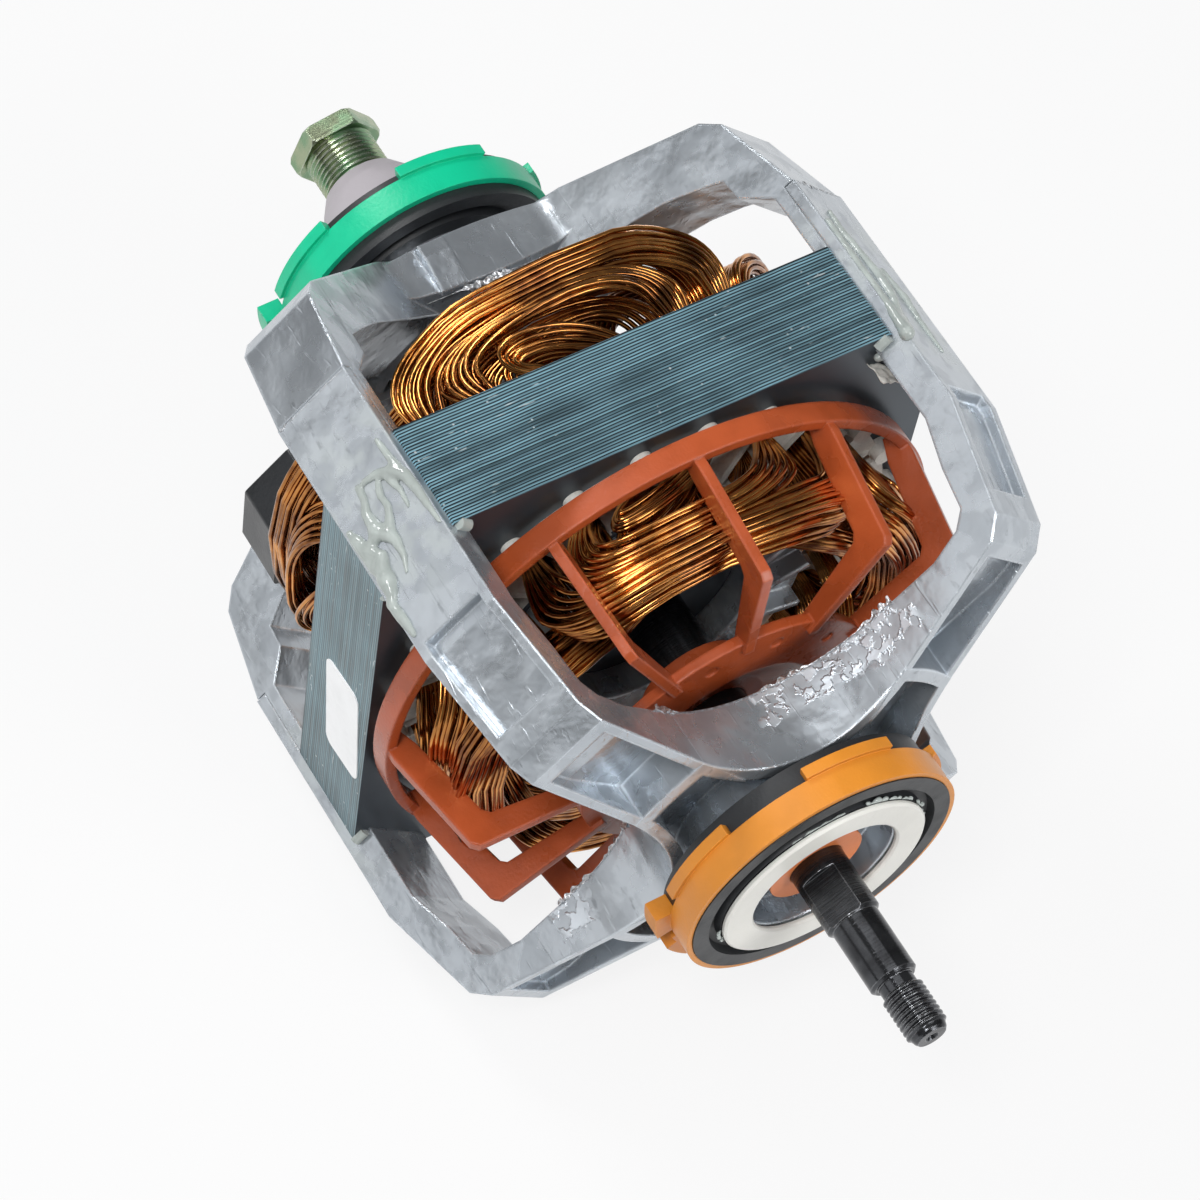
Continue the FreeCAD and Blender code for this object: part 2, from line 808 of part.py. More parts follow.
def front_end_frame():
    """Die-cast frame at the drive end, whose long arms reach back over the stack."""
    foot = wall_inner_radius - 3
    wall = front_wall_back_x
    outer = [
        (front_arm_end_x, arm_radius), (front_slope_x, arm_radius),
        (front_bend_x, front_bend_radius), (front_leg_x, front_leg_radius),
        (front_foot_x, front_foot_radius), (front_web_front_x, window_bottom_radius),
        (front_web_front_x, foot),
    ]
    inner = [
        (wall, foot),
        *[(wall - back, front_leg_radius - drop) for back, drop in front_corner_steps],
        (front_knee_x, arm_inner_radius - front_knee_drop),
        (front_slope_x, arm_inner_radius), (half_stack, arm_inner_radius),
        (half_stack, chamfer_radius), (front_arm_end_x, chamfer_radius),
    ]
    far = arm_radius + 10
    floor = arm_radius - front_pocket_depth
    start = front_pocket_start_x
    leg_floor = wall + front_leg_pocket_floor
    gusset = pocket_outer_radius + arm_floor
    pockets = [
        [(start - 1.5, far), (start + 1.5, floor), (front_slope_x, floor),
         (front_bend_x - 6.5, floor + front_bend_radius - arm_radius + 1.7), (front_bend_x - 1, far)],
        [(front_leg_x + 14, front_leg_radius - 2), (leg_floor - 1.2, front_leg_radius - 3.5),
         (leg_floor, front_leg_radius - 11), (leg_floor, gusset), (front_foot_x + 10, gusset)],
    ]
    arm = frame_arm(outer, inner, pockets)
    bearing_start = front_web_back_x + bearing_setback
    bearing_end = bearing_start + bearing_length + running_fit
    recess_start = front_web_back_x - boss_length
    recess_end = recess_start + felt_length + cap_wall
    bore = bearing_radius + running_fit
    web = turned([
        (recess_start, felt_radius + running_fit), (recess_start, boss_radius),
        (front_web_back_x, boss_radius), (front_web_back_x, wall_inner_radius),
        (wall, wall_inner_radius), (wall, web_outer_radius),
        (front_foot_x - 1.2, web_outer_radius), (front_web_front_x, window_bottom_radius),
        (front_web_front_x, hub_radius), (front_hub_end_x, hub_radius),
        (front_hub_end_x, flange_bore_radius), (bearing_end, flange_bore_radius),
        (bearing_end, bore), (recess_end, bore), (recess_end, felt_radius + running_fit),
    ]).cut(round_windows(wall - 2, front_web_front_x + 2))
    arms = around(arm, arm_count, arm_first_angle)
    pocket = hub_pocket(front_web_back_x + web_plate, front_web_front_x + 2, round_windows)
    return joined([web] + arms).cut([rod(bore, front_web_back_x - 20, front_web_front_x + 20), pocket])


def window_rib():
    """Low rib across the flat bottom of a rear window."""
    top = rear_floor_height + rear_rib_height
    rib = plate([
        (rear_wall_front_x - 0.5, rear_floor_height - 1), (rear_wall_front_x - 1, rear_floor_height + 0.6),
        (rear_foot_x + 3.5, top), (rear_foot_x, top), (rear_foot_x - 1.5, rear_floor_height - 1),
    ], rear_rib_width)
    rib.translate(Vector(0, rear_rib_offset, 0))
    return rib


def rear_end_frame():
    """Die-cast frame at the pulley end, whose short arms reach under the front frame's arms."""
    foot = wall_inner_radius - 3
    wall = rear_wall_front_x
    tongue = chamfer_radius - running_fit
    outer = [
        (-half_stack, tongue), (front_arm_end_x - seat_gap, tongue),
        (front_arm_end_x - seat_gap, arm_radius - 0.4), (rear_bend_x, rear_bend_radius),
        (rear_leg_x, rear_leg_radius), (rear_foot_x, rear_foot_radius),
        (rear_web_back_x, window_bottom_radius), (rear_web_back_x, foot),
    ]
    inner = [
        (wall, foot), (wall, window_bottom_radius), (wall + rear_wall_lean, rear_foot_radius),
        *[(wall + ahead, rear_leg_radius - drop) for ahead, drop in rear_corner_steps],
        (rear_knee_x, arm_inner_radius - rear_knee_drop),
        (front_arm_end_x, tongue - lap_thickness), (-half_stack, tongue - lap_thickness),
    ]
    gusset = pocket_outer_radius + arm_floor
    pockets = [
        [(rear_leg_x - 16, rear_leg_radius - 2), (rear_leg_x + 4, rear_leg_radius - 5),
         (wall + 1, rear_leg_radius - 17), (wall - 3.5, gusset), (rear_foot_x - 14, gusset)],
    ]
    arm = frame_arm(outer, inner, pockets)
    bearing_start = rear_web_front_x - bearing_setback
    bearing_end = bearing_start - bearing_length - running_fit
    recess_start = rear_web_front_x + boss_length
    recess_end = recess_start - felt_length - cap_wall
    bore = bearing_radius + running_fit
    web = turned([
        (recess_start, felt_radius + running_fit), (recess_start, boss_radius),
        (rear_web_front_x, boss_radius), (rear_web_front_x, wall_inner_radius),
        (wall, wall_inner_radius), (wall, window_bottom_radius), (wall - 4, web_outer_radius),
        (rear_foot_x + 1.2, web_outer_radius), (rear_web_back_x, window_bottom_radius),
        (rear_web_back_x, hub_radius), (rear_hub_end_x, hub_radius),
        (rear_hub_end_x, flange_bore_radius), (bearing_end, flange_bore_radius),
        (bearing_end, bore), (recess_end, bore), (recess_end, felt_radius + running_fit),
    ]).cut(flat_windows(rear_web_back_x - 2, wall + 2))
    arms = around(arm, arm_count, arm_first_angle)
    screw_boss = rod(screw_boss_radius, rear_web_front_x - 1, wall, screw_y, 0)
    pocket = hub_pocket(rear_web_back_x - 2, rear_web_front_x - web_plate, flat_windows)
    tapped = rod(screw_radius + running_fit, wall - screw_length - 1, wall + 1, screw_y, 0)
    cuts = [rod(bore, rear_web_back_x - 20, rear_web_front_x + 20), pocket, tapped]
    ribs = around(window_rib(), arm_count)
    return joined([web] + arms + ribs + [screw_boss]).cut(cuts)


# Bearings and what holds them

def bearing(start_x, end_x):
    """Sleeve bearing with a full middle land and relieved ends."""
    bore = shaft_journal_radius + running_fit
    third = (end_x - start_x) / 3
    relief = bearing_radius - bearing_land
    return turned([
        (start_x, bore), (end_x, bore), (end_x, relief), (end_x - third, bearing_radius),
        (start_x + third, bearing_radius), (start_x, relief),
    ])


def bearing_set(prefix, web_x, side):
    """Bearing, oil felt, felt cap and thrust washer of one end frame."""
    start = web_x + side * bearing_setback
    end = start + side * bearing_length
    save(prefix + "_bearing", [bearing(min(start, end), max(start, end))])
    recess = web_x - side * boss_length
    felt_end = recess + side * felt_length
    felt_start = recess + side * cap_wall
    bore = shaft_journal_radius + seat_gap
    save(prefix + "_oil_felt", [tube(felt_radius, bore, min(felt_start, felt_end), max(felt_start, felt_end))])
    rim = boss_radius + cap_wall
    lip = web_x - side * 1.5
    flat = recess - side * cap_wall
    cap = turned([
        (flat, bore + 2), (flat, rim), (lip, rim), (lip, boss_radius + running_fit),
        (recess, boss_radius + running_fit), (recess, bore + 2),
    ])
    save(prefix + "_felt_cap", [cap])
    washer = end + side * seat_gap
    washer_end = washer + side * thrust_washer_thickness
    save(prefix + "_thrust_washer", [tube(
        thrust_washer_radius, bore, min(washer, washer_end), max(washer, washer_end))])


# Cradle rings

def rubber_ring(face_x):
    """Rubber ring with a shallow groove in each face; face_x is its end towards +X."""
    back_x = face_x - ring_rubber_width
    middle = (rubber_bore_radius + ring_rubber_radius) / 2
    half = ring_groove_width / 2
    deep = ring_groove_depth
    return turned([
        (back_x, rubber_bore_radius), (face_x, rubber_bore_radius), (face_x, middle - half),
        (face_x - deep, middle - half * 0.6), (face_x - deep, middle + half * 0.6),
        (face_x, middle + half), (face_x, ring_rubber_radius), (back_x, ring_rubber_radius),
        (back_x, middle + half), (back_x + deep, middle + half * 0.6),
        (back_x + deep, middle - half * 0.6), (back_x, middle - half),
    ])


def ring_cover(face_x, wall):
    """Plastic band round a rubber ring, with raised strips and hooks behind its plain seat."""
    seat_x = face_x - cover_width
    back_x = seat_x - cover_strip_width
    cover_radius = cover_bore_radius + wall
    band = tube(cover_radius, cover_bore_radius, seat_x, face_x)
    strip = sector(cover_radius + cover_strip_height, cover_bore_radius, back_x, seat_x, 0, cover_strip_angle)
    hook = sector(cover_radius + cover_hook_height, cover_bore_radius,
                  back_x - cover_hook_overhang, seat_x, 0, cover_hook_angle)
    pieces = [band] + around(strip, cover_strip_count, 10)
    pieces += [turned_to(hook, angle) for angle in cover_hook_places]
    return joined(pieces)


def front_ring_sleeve():
    """Steel sleeve inside the front rubber ring, with its wide front flange."""
    back_x = front_rubber_face_x - ring_rubber_width + 0.5
    flange_x = flange_front_x - flange_thickness
    return turned([
        (back_x, sleeve_bore_radius), (flange_x, sleeve_bore_radius),
        (flange_x, flange_bore_radius), (flange_front_x - 0.5, flange_bore_radius),
        (flange_front_x, flange_bore_radius + 0.5), (flange_front_x, flange_radius - 0.5),
        (flange_front_x - 0.5, flange_radius), (flange_x, flange_radius),
        (flange_x, sleeve_radius), (back_x, sleeve_radius),
    ])


def rear_ring_sleeve():
    """Sleeve inside the rear rubber ring that tapers back round the pulley's root."""
    front_x = rear_rubber_face_x - 0.5
    hub_end = rear_hub_end_x - seat_gap
    face_x = rear_rubber_face_x - ring_rubber_width
    return turned([
        (front_x, sleeve_bore_radius), (hub_end, sleeve_bore_radius), (hub_end, cone_bore_radius + 3),
        (cone_shoulder_x + 1.5, cone_bore_radius + 1.0), (cone_shoulder_x, cone_bore_radius),
        (cone_tip_x, cone_bore_radius), (cone_tip_x, cone_tip_radius),
        (cone_shoulder_x, cone_shoulder_radius), (face_x - 6, cone_base_radius - 1.2),
        (face_x - 1, cone_base_radius + 1.2), (face_x, sleeve_radius), (front_x, sleeve_radius),
    ])


# Governor and start switch

def governor_base():
    """Plate and hub pressed on the shaft, with ears for the weights."""
    back_x = governor_base_x - governor_base_thickness
    bore = shaft_middle_radius + running_fit
    body = turned([
        (governor_base_x, bore), (governor_base_x, governor_base_radius),
        (back_x, governor_base_radius), (back_x, governor_hub_radius),
        (back_x - governor_hub_length, governor_hub_radius), (back_x - governor_hub_length, bore),
    ])
    ears = []
    for y in (-1, 1):
        near = y * (weight_width / 2 + seat_gap)
        far = near + y * ear_thickness
        ear = block(
            (weight_pivot_x - ear_radius, min(near, far), weight_pivot_radius - ear_radius),
            (back_x + 1, max(near, far), weight_pivot_radius + ear_radius - 1.5),
        )
        hole = Part.makeCylinder(weight_pin_radius + running_fit, 60,
                                 Vector(weight_pivot_x, -30, weight_pivot_radius), Vector(0, 1, 0))
        ears.append(ear.cut(hole))
    return joined([body] + [turned_to(ear, angle) for ear in ears for angle in (0, 180)])


def governor_pin():
    """Pivot pin of one weight, through both ears."""
    length = weight_width + 2 * (seat_gap + ear_thickness)
    return Part.makeCylinder(weight_pin_radius, length,
                             Vector(weight_pivot_x, -length / 2, weight_pivot_radius), Vector(0, 1, 0))


def governor_weight():
    """Swinging weight: a bored barrel round the pin and a flat bar behind it."""
    start = Vector(weight_pivot_x, -weight_width / 2, weight_pivot_radius)
    barrel = Part.makeCylinder(weight_thickness / 2 + 0.4, weight_width, start, Vector(0, 1, 0))
    bar = block(
        (weight_pivot_x - weight_length, -weight_width / 2, weight_pivot_radius - 1.2),
        (weight_pivot_x, weight_width / 2, weight_pivot_radius - 1.2 + weight_thickness),
    )
    hole = Part.makeCylinder(weight_pin_radius + running_fit, weight_width + 2,
                             start - Vector(0, 1, 0), Vector(0, 1, 0))
    return joined([barrel, bar]).cut(hole)


def governor_spool():
    """Sliding collar with a groove for the switch lever."""
    end_x = spool_start_x + spool_length
    flange = spool_flange_thickness
    groove_x = spool_start_x + flange + lever_thickness + 2 * moving_gap
    return turned([
        (spool_start_x, spool_bore_radius), (end_x, spool_bore_radius), (end_x, spool_neck_radius),
        (groove_x + flange, spool_neck_radius), (groove_x + flange, spool_flange_radius),
        (groove_x, spool_flange_radius), (groove_x, spool_neck_radius),
        (spool_start_x + flange, spool_neck_radius), (spool_start_x + flange, spool_flange_radius),
        (spool_start_x, spool_flange_radius),
    ])


def switch_outline(inset, start_x, end_x):
    """The switch's bevelled outline across the shaft, shrunk by a wall and made long along X."""
    near = switch_near_y - inset
    far = switch_far_y + inset
    top = switch_top_z - inset
    low = switch_low_z + inset
    bevel = switch_bevel - inset * (2 - math.sqrt(2))
    corners = [(near, low), (near, top), (far + bevel, top), (far, top - bevel), (far, low)]
    points = [Vector(start_x, y, z) for y, z in corners]
    return Part.Face(Part.makePolygon(points + points[:1])).extrude(Vector(end_x - start_x, 0, 0))


def switch_housing():
    """Black open-sided box of the start switch."""
    outer = switch_outline(0, switch_x, switch_end_x)
    long_edges = [edge for edge in outer.Edges
                  if abs(edge.Vertexes[0].Point.x - edge.Vertexes[1].Point.x) > 1
                  and edge.Vertexes[0].Point.y < switch_near_y - 1]
    outer = outer.makeFillet(switch_corner, long_edges)
    wall = switch_wall
    room = switch_outline(wall, switch_x + wall, switch_end_x - wall)
    mouth = block(
        (switch_x + wall, switch_near_y - wall - 1, switch_low_z + wall),
        (switch_end_x - wall, switch_near_y + 1, switch_top_z - wall),
    )
    slots = [block(
        (x - terminal_width / 2 - running_fit, y - terminal_thickness / 2 - running_fit, switch_low_z - 1),
        (x + terminal_width / 2 + running_fit, y + terminal_thickness / 2 + running_fit, switch_low_z + wall + 1),
    ) for x, y in terminal_places()]
    return outer.cut([room, mouth] + slots)


def terminal_places():
    """Middle of each terminal blade across the switch."""
    columns = 2
    places = []
    for i in range(terminal_count):
        x = switch_x + switch_length * (0.28 + 0.44 * (i % columns))
        y = switch_far_y + switch_depth * (0.3 + 0.36 * (i // columns))
        places.append((x, y))
    return places


def terminals():
    """Flat blades that stand out of the low end of the switch."""
    blades = []
    for x, y in terminal_places():
        blades.append(block(
            (x - terminal_width / 2, y - terminal_thickness / 2, switch_low_z - terminal_length),
            (x + terminal_width / 2, y + terminal_thickness / 2, switch_low_z + 6),
        ))
    return blades


def switch_cover():
    """Lid on the near side of the switch, slotted for the lever."""
    lid = block(
        (switch_x + switch_wall + running_fit, switch_near_y - switch_wall, switch_low_z + switch_wall + running_fit),
        (switch_end_x - switch_wall - running_fit, switch_near_y, switch_top_z - switch_wall - running_fit),
    )
    return lid


def switch_bracket():
    """Plate that carries the switch on the rear frame's screw boss."""
    low_x = rear_wall_front_x
    high_x = low_x + bracket_thickness
    tongue = block((low_x, switch_near_y, -bracket_width / 2),
                   (high_x, screw_y + screw_boss_radius - 1, bracket_width / 2))
    wing = block((low_x, switch_near_y, switch_low_z + 4),
                 (low_x + bracket_width, switch_near_y + bracket_thickness, switch_top_z - 2))
    hole = rod(screw_radius + running_fit, low_x - 1, high_x + 1, screw_y, 0)
    return joined([tongue, wing]).cut(hole)


def bracket_screw():
    """Round-headed screw that holds the bracket to the frame."""
    head_x = rear_wall_front_x + bracket_thickness
    head = rod(screw_head_radius, head_x, head_x + screw_head_height, screw_y, 0)
    slot = block(
        (head_x + screw_head_height - screw_slot_depth, screw_y - screw_slot_width / 2, -screw_head_radius),
        (head_x + screw_head_height, screw_y + screw_slot_width / 2, screw_head_radius))
    shank = rod(screw_radius, head_x - bracket_thickness - screw_length, head_x, screw_y, 0)
    return joined([head.cut(slot), shank])


def switch_lever():
    """Lever from the top of the switch to the groove of the governor's spool."""
    up = Vector(0, 0, 1)
    arm = block((lever_x, lever_pivot_y, lever_low_z),
                (lever_x + lever_thickness, lever_tip_y, lever_high_z))
    barrel = Part.makeCylinder(lever_pivot_radius + lever_barrel_wall, lever_width,
                               Vector(lever_pivot_x, lever_pivot_y, lever_low_z), up)
    hole = Part.makeCylinder(lever_pivot_radius + running_fit, lever_width,
                             Vector(lever_pivot_x, lever_pivot_y, lever_low_z), up)
    return joined([arm, barrel]).cut(hole)


def lever_pivot():
    """Headed pin on a foot plate that carries the lever on top of the switch."""
    up = Vector(0, 0, 1)
    pin_foot = Vector(lever_pivot_x, lever_pivot_y, switch_top_z)
    pin_length = lever_high_z + seat_gap + lever_head_thickness - switch_top_z
    pin = Part.makeCylinder(lever_pivot_radius, pin_length, pin_foot, up)
    head = Part.makeCylinder(lever_pivot_radius + lever_head_rim, lever_head_thickness,
                             Vector(lever_pivot_x, lever_pivot_y, lever_high_z + seat_gap), up)
    reach = lever_pivot_inset - lever_foot_margin
    foot = block((lever_pivot_x - reach, lever_pivot_y - reach, switch_top_z),
                 (lever_pivot_x + reach, lever_pivot_y + reach, switch_top_z + lever_foot_thickness))
    return joined([pin, head, foot])


def thermal_protector():
    """Round metal can of the overload cutout inside the switch."""
    middle = Vector(switch_x + switch_length / 2, switch_near_y - switch_wall - seat_gap, switch_top_z - switch_bevel)
    return Part.makeCylinder(protector_radius, protector_height, middle, Vector(0, -1, 0))


def winding_leads():
    """Short insulated leads from the switch into the rear of the left main coil."""
    end_x = -half_stack - core_height - seat_gap
    y = switch_near_y - lead_inset
    top_z = switch_top_z - 2 * lead_inset
    return [rod(lead_radius, switch_end_x, end_x, y, top_z - lead_spacing * i) for i in range(lead_count)]


# Label and bonds

def label():
    """Blank rounded label on the left face of the stack."""
    y = -stack_side / 2
    sheet = block((-label_width / 2, y - label_thickness, -label_height / 2),
                  (label_width / 2, y, label_height / 2))
    corners = [edge for edge in sheet.Edges
               if abs(edge.Vertexes[0].Point.y - edge.Vertexes[1].Point.y) > label_thickness / 2]
    sheet = sheet.makeFillet(label_corner, corners)
    sheet.rotate(origin, Vector(0, 1, 0), label_tilt)
    sheet.translate(Vector(label_x, 0, label_z))
    return sheet


def arm_bond():
    """Pad of bonding resin on the outside of an arm, with beads run together on it."""
    low = block((bond_x - bond_length / 2, -bond_width / 2, arm_radius),
                (bond_x + bond_length / 2, bond_width / 2, arm_radius + bond_height))
    upright = [edge for edge in low.Edges
               if abs(edge.Vertexes[0].Point.z - edge.Vertexes[1].Point.z) > bond_height / 2]
    return low.makeFillet(4.0, upright)


def edge_bond(side):
    """Bead of resin in the corner between an arm's flank and the stack's front face."""
    y = side * (arm_width / 2 + bond_bead_radius * 0.6)
    foot = Vector(half_stack, y, arm_inner_radius + 1)
    bead = Part.makeCylinder(bond_bead_radius, bond_bead_length, foot, Vector(0, 0, 1))
    room = block((half_stack, -cut_reach, 0), (cut_reach, cut_reach, cut_reach))
    arm_room = block((-cut_reach, -arm_width / 2, 0), (cut_reach, arm_width / 2, cut_reach))
    return bead.common(room).cut(arm_room)


def save_frame():
    """Pieces that stay still."""
    save("stator_core", [stator_core()])
    save("slot_liners", slot_liners())
    save("front_end_insulator", [nubbed_insulator()])
    save("rear_end_insulator", [end_insulator(-1)])
    windings()
    save("front_end_frame", [front_end_frame()])
    save("rear_end_frame", [rear_end_frame()])
    bearing_set("front", front_web_back_x, 1)
    bearing_set("rear", rear_web_front_x, -1)
    save("front_rubber_ring", [rubber_ring(front_rubber_face_x)])
    save("rear_rubber_ring", [rubber_ring(rear_rubber_face_x)])
    save("front_ring_cover", [ring_cover(front_cover_face_x, front_cover_wall)])
    save("rear_ring_cover", [ring_cover(rear_cover_face_x, rear_cover_wall)])
    save("front_ring_sleeve", [front_ring_sleeve()])
    save("rear_ring_sleeve", [rear_ring_sleeve()])
    save("switch_housing", [switch_housing()])
    save("switch_cover", [switch_cover()])
    save("switch_terminals", terminals())
    save("switch_bracket", [switch_bracket()])
    save("bracket_screw", [bracket_screw()])
    save("lever_pivot", [lever_pivot()])
    save("thermal_protector", [thermal_protector()])
    save("winding_leads", winding_leads())
    save("blank_label", [label()])
    save("top_arm_bonds", [turned_to(arm_bond(), angle) for angle in (-arm_first_angle, arm_first_angle)])
    beads = [edge_bond(side) for side in (-1, 1)]
    save("edge_bonds", [turned_to(bead, arm_first_angle + 90 * i) for i in range(arm_count) for bead in beads])


def save_moving():
    """Pieces that turn with the shaft, slide on it or swing."""
    save("shaft", [shaft()])
    save("rotor_core", [rotor_core()])
    save("rotor_cage", [rotor_cage()])
    save("cooling_fan", [cooling_fan()])
    save("belt_pulley", [belt_pulley()])
    save("shaft_slinger", [tube(slinger_radius, shaft_journal_radius + running_fit,
                                slinger_x, slinger_x + slinger_thickness)])
    save("governor_base", [governor_base()])
    save("governor_pins", [turned_to(governor_pin(), angle) for angle in (0, 180)])
    save("governor_weight_a", [governor_weight()])
    save("governor_weight_b", [turned_to(governor_weight(), 180)])
    save("governor_spool", [governor_spool()])
    save("switch_lever", [switch_lever()])


save_frame()
save_moving()
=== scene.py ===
import logging
import math
import random
from dataclasses import dataclass, field
from enum import Enum
from typing import Callable, Sequence

import bmesh
import bpy
from mathutils import Matrix, Vector, noise


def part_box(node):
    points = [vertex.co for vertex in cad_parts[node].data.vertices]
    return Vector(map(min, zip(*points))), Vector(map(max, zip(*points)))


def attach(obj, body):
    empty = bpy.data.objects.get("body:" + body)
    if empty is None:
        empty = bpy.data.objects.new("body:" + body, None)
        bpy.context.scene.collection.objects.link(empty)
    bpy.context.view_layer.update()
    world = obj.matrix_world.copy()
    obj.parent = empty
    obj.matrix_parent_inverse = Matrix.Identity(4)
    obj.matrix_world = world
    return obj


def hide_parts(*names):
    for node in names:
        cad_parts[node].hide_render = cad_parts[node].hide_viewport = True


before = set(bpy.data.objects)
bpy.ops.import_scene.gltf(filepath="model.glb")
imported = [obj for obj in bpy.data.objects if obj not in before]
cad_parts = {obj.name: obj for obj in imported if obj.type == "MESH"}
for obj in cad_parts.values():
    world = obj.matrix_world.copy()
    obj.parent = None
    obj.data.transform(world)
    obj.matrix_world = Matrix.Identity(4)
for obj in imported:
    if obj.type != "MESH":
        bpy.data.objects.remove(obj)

LOG = logging.getLogger("dryer_motor")
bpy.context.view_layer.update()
MM = 0.001
STACK_MIDDLE = -0.0822
NOISE_SEED = 5
WINDOW_CENTRE = 65.9
WINDOW_RADIUS = 36.4
SHEET_THICKNESS = 0.3
Colour = tuple[float, float, float]


def on_axis(x: float, radius: float, angle: float) -> Vector:
    """Place of a point given round the shaft.

    Args:
        x: millimetres along the shaft from the middle of the stack.
        radius: millimetres from the shaft.
        angle: degrees from the -Y to +Y line, turning towards +Z.

    Returns:
        The point in metres.
    """
    turn = math.radians(angle)
    return Vector((STACK_MIDDLE + x * MM, radius * MM * math.cos(turn), radius * MM * math.sin(turn)))


class Term:
    """A socket of a shader that grows Math nodes when it stands in an expression."""

    def __init__(self, shader: "Shader", socket: bpy.types.NodeSocket) -> None:
        """Keeps the shader and the socket that the term stands for."""
        self.shader = shader
        self.socket = socket

    def maths(self, operation: str, *values: "Term | float") -> "Term":
        """One Math node.

        Args:
            operation: the node's operation.
            values: its inputs, in order.

        Returns:
            The node's result.
        """
        node = self.shader.add("ShaderNodeMath", {"operation": operation}, dict(enumerate(values)))
        return Term(self.shader, node.outputs[0])

    def __add__(self, other: "Term | float") -> "Term":
        """Sum."""
        return self.maths("ADD", self, other)

    __radd__ = __add__

    def __sub__(self, other: "Term | float") -> "Term":
        """Difference."""
        return self.maths("SUBTRACT", self, other)

    def __rsub__(self, other: float) -> "Term":
        """Difference with the number first."""
        return self.maths("SUBTRACT", other, self)

    def __mul__(self, other: "Term | float") -> "Term":
        """Product."""
        return self.maths("MULTIPLY", self, other)

    __rmul__ = __mul__

    def __pow__(self, power: float) -> "Term":
        """Power."""
        return self.maths("POWER", self, power)

    def __abs__(self) -> "Term":
        """Size without its sign."""
        return self.maths("ABSOLUTE", self)

    def most(self, other: "Term | float") -> "Term":
        """The larger of the two."""
        return self.maths("MAXIMUM", self, other)

    def least(self, other: "Term | float") -> "Term":
        """The smaller of the two."""
        return self.maths("MINIMUM", self, other)

    def sine(self) -> "Term":
        """Sine, in radians."""
        return self.maths("SINE", self)

    def rise(self, low: float, high: float) -> "Term":
        """Soft step.

        Args:
            low: the value where the step starts at 0.
            high: the value where it reaches 1.

        Returns:
            A mask from 0 to 1.
        """
        settings = {"interpolation_type": "SMOOTHSTEP"}
        node = self.shader.add("ShaderNodeMapRange", settings, {"Value": self, "From Min": low, "From Max": high})
        return Term(self.shader, node.outputs[0])

    def band(self, low: float, high: float, blur: float) -> "Term":
        """Mask that is 1 between two values and falls off over a blur on either side."""
        return self.rise(low - blur, low + blur) * (1 - self.rise(high - blur, high + blur))


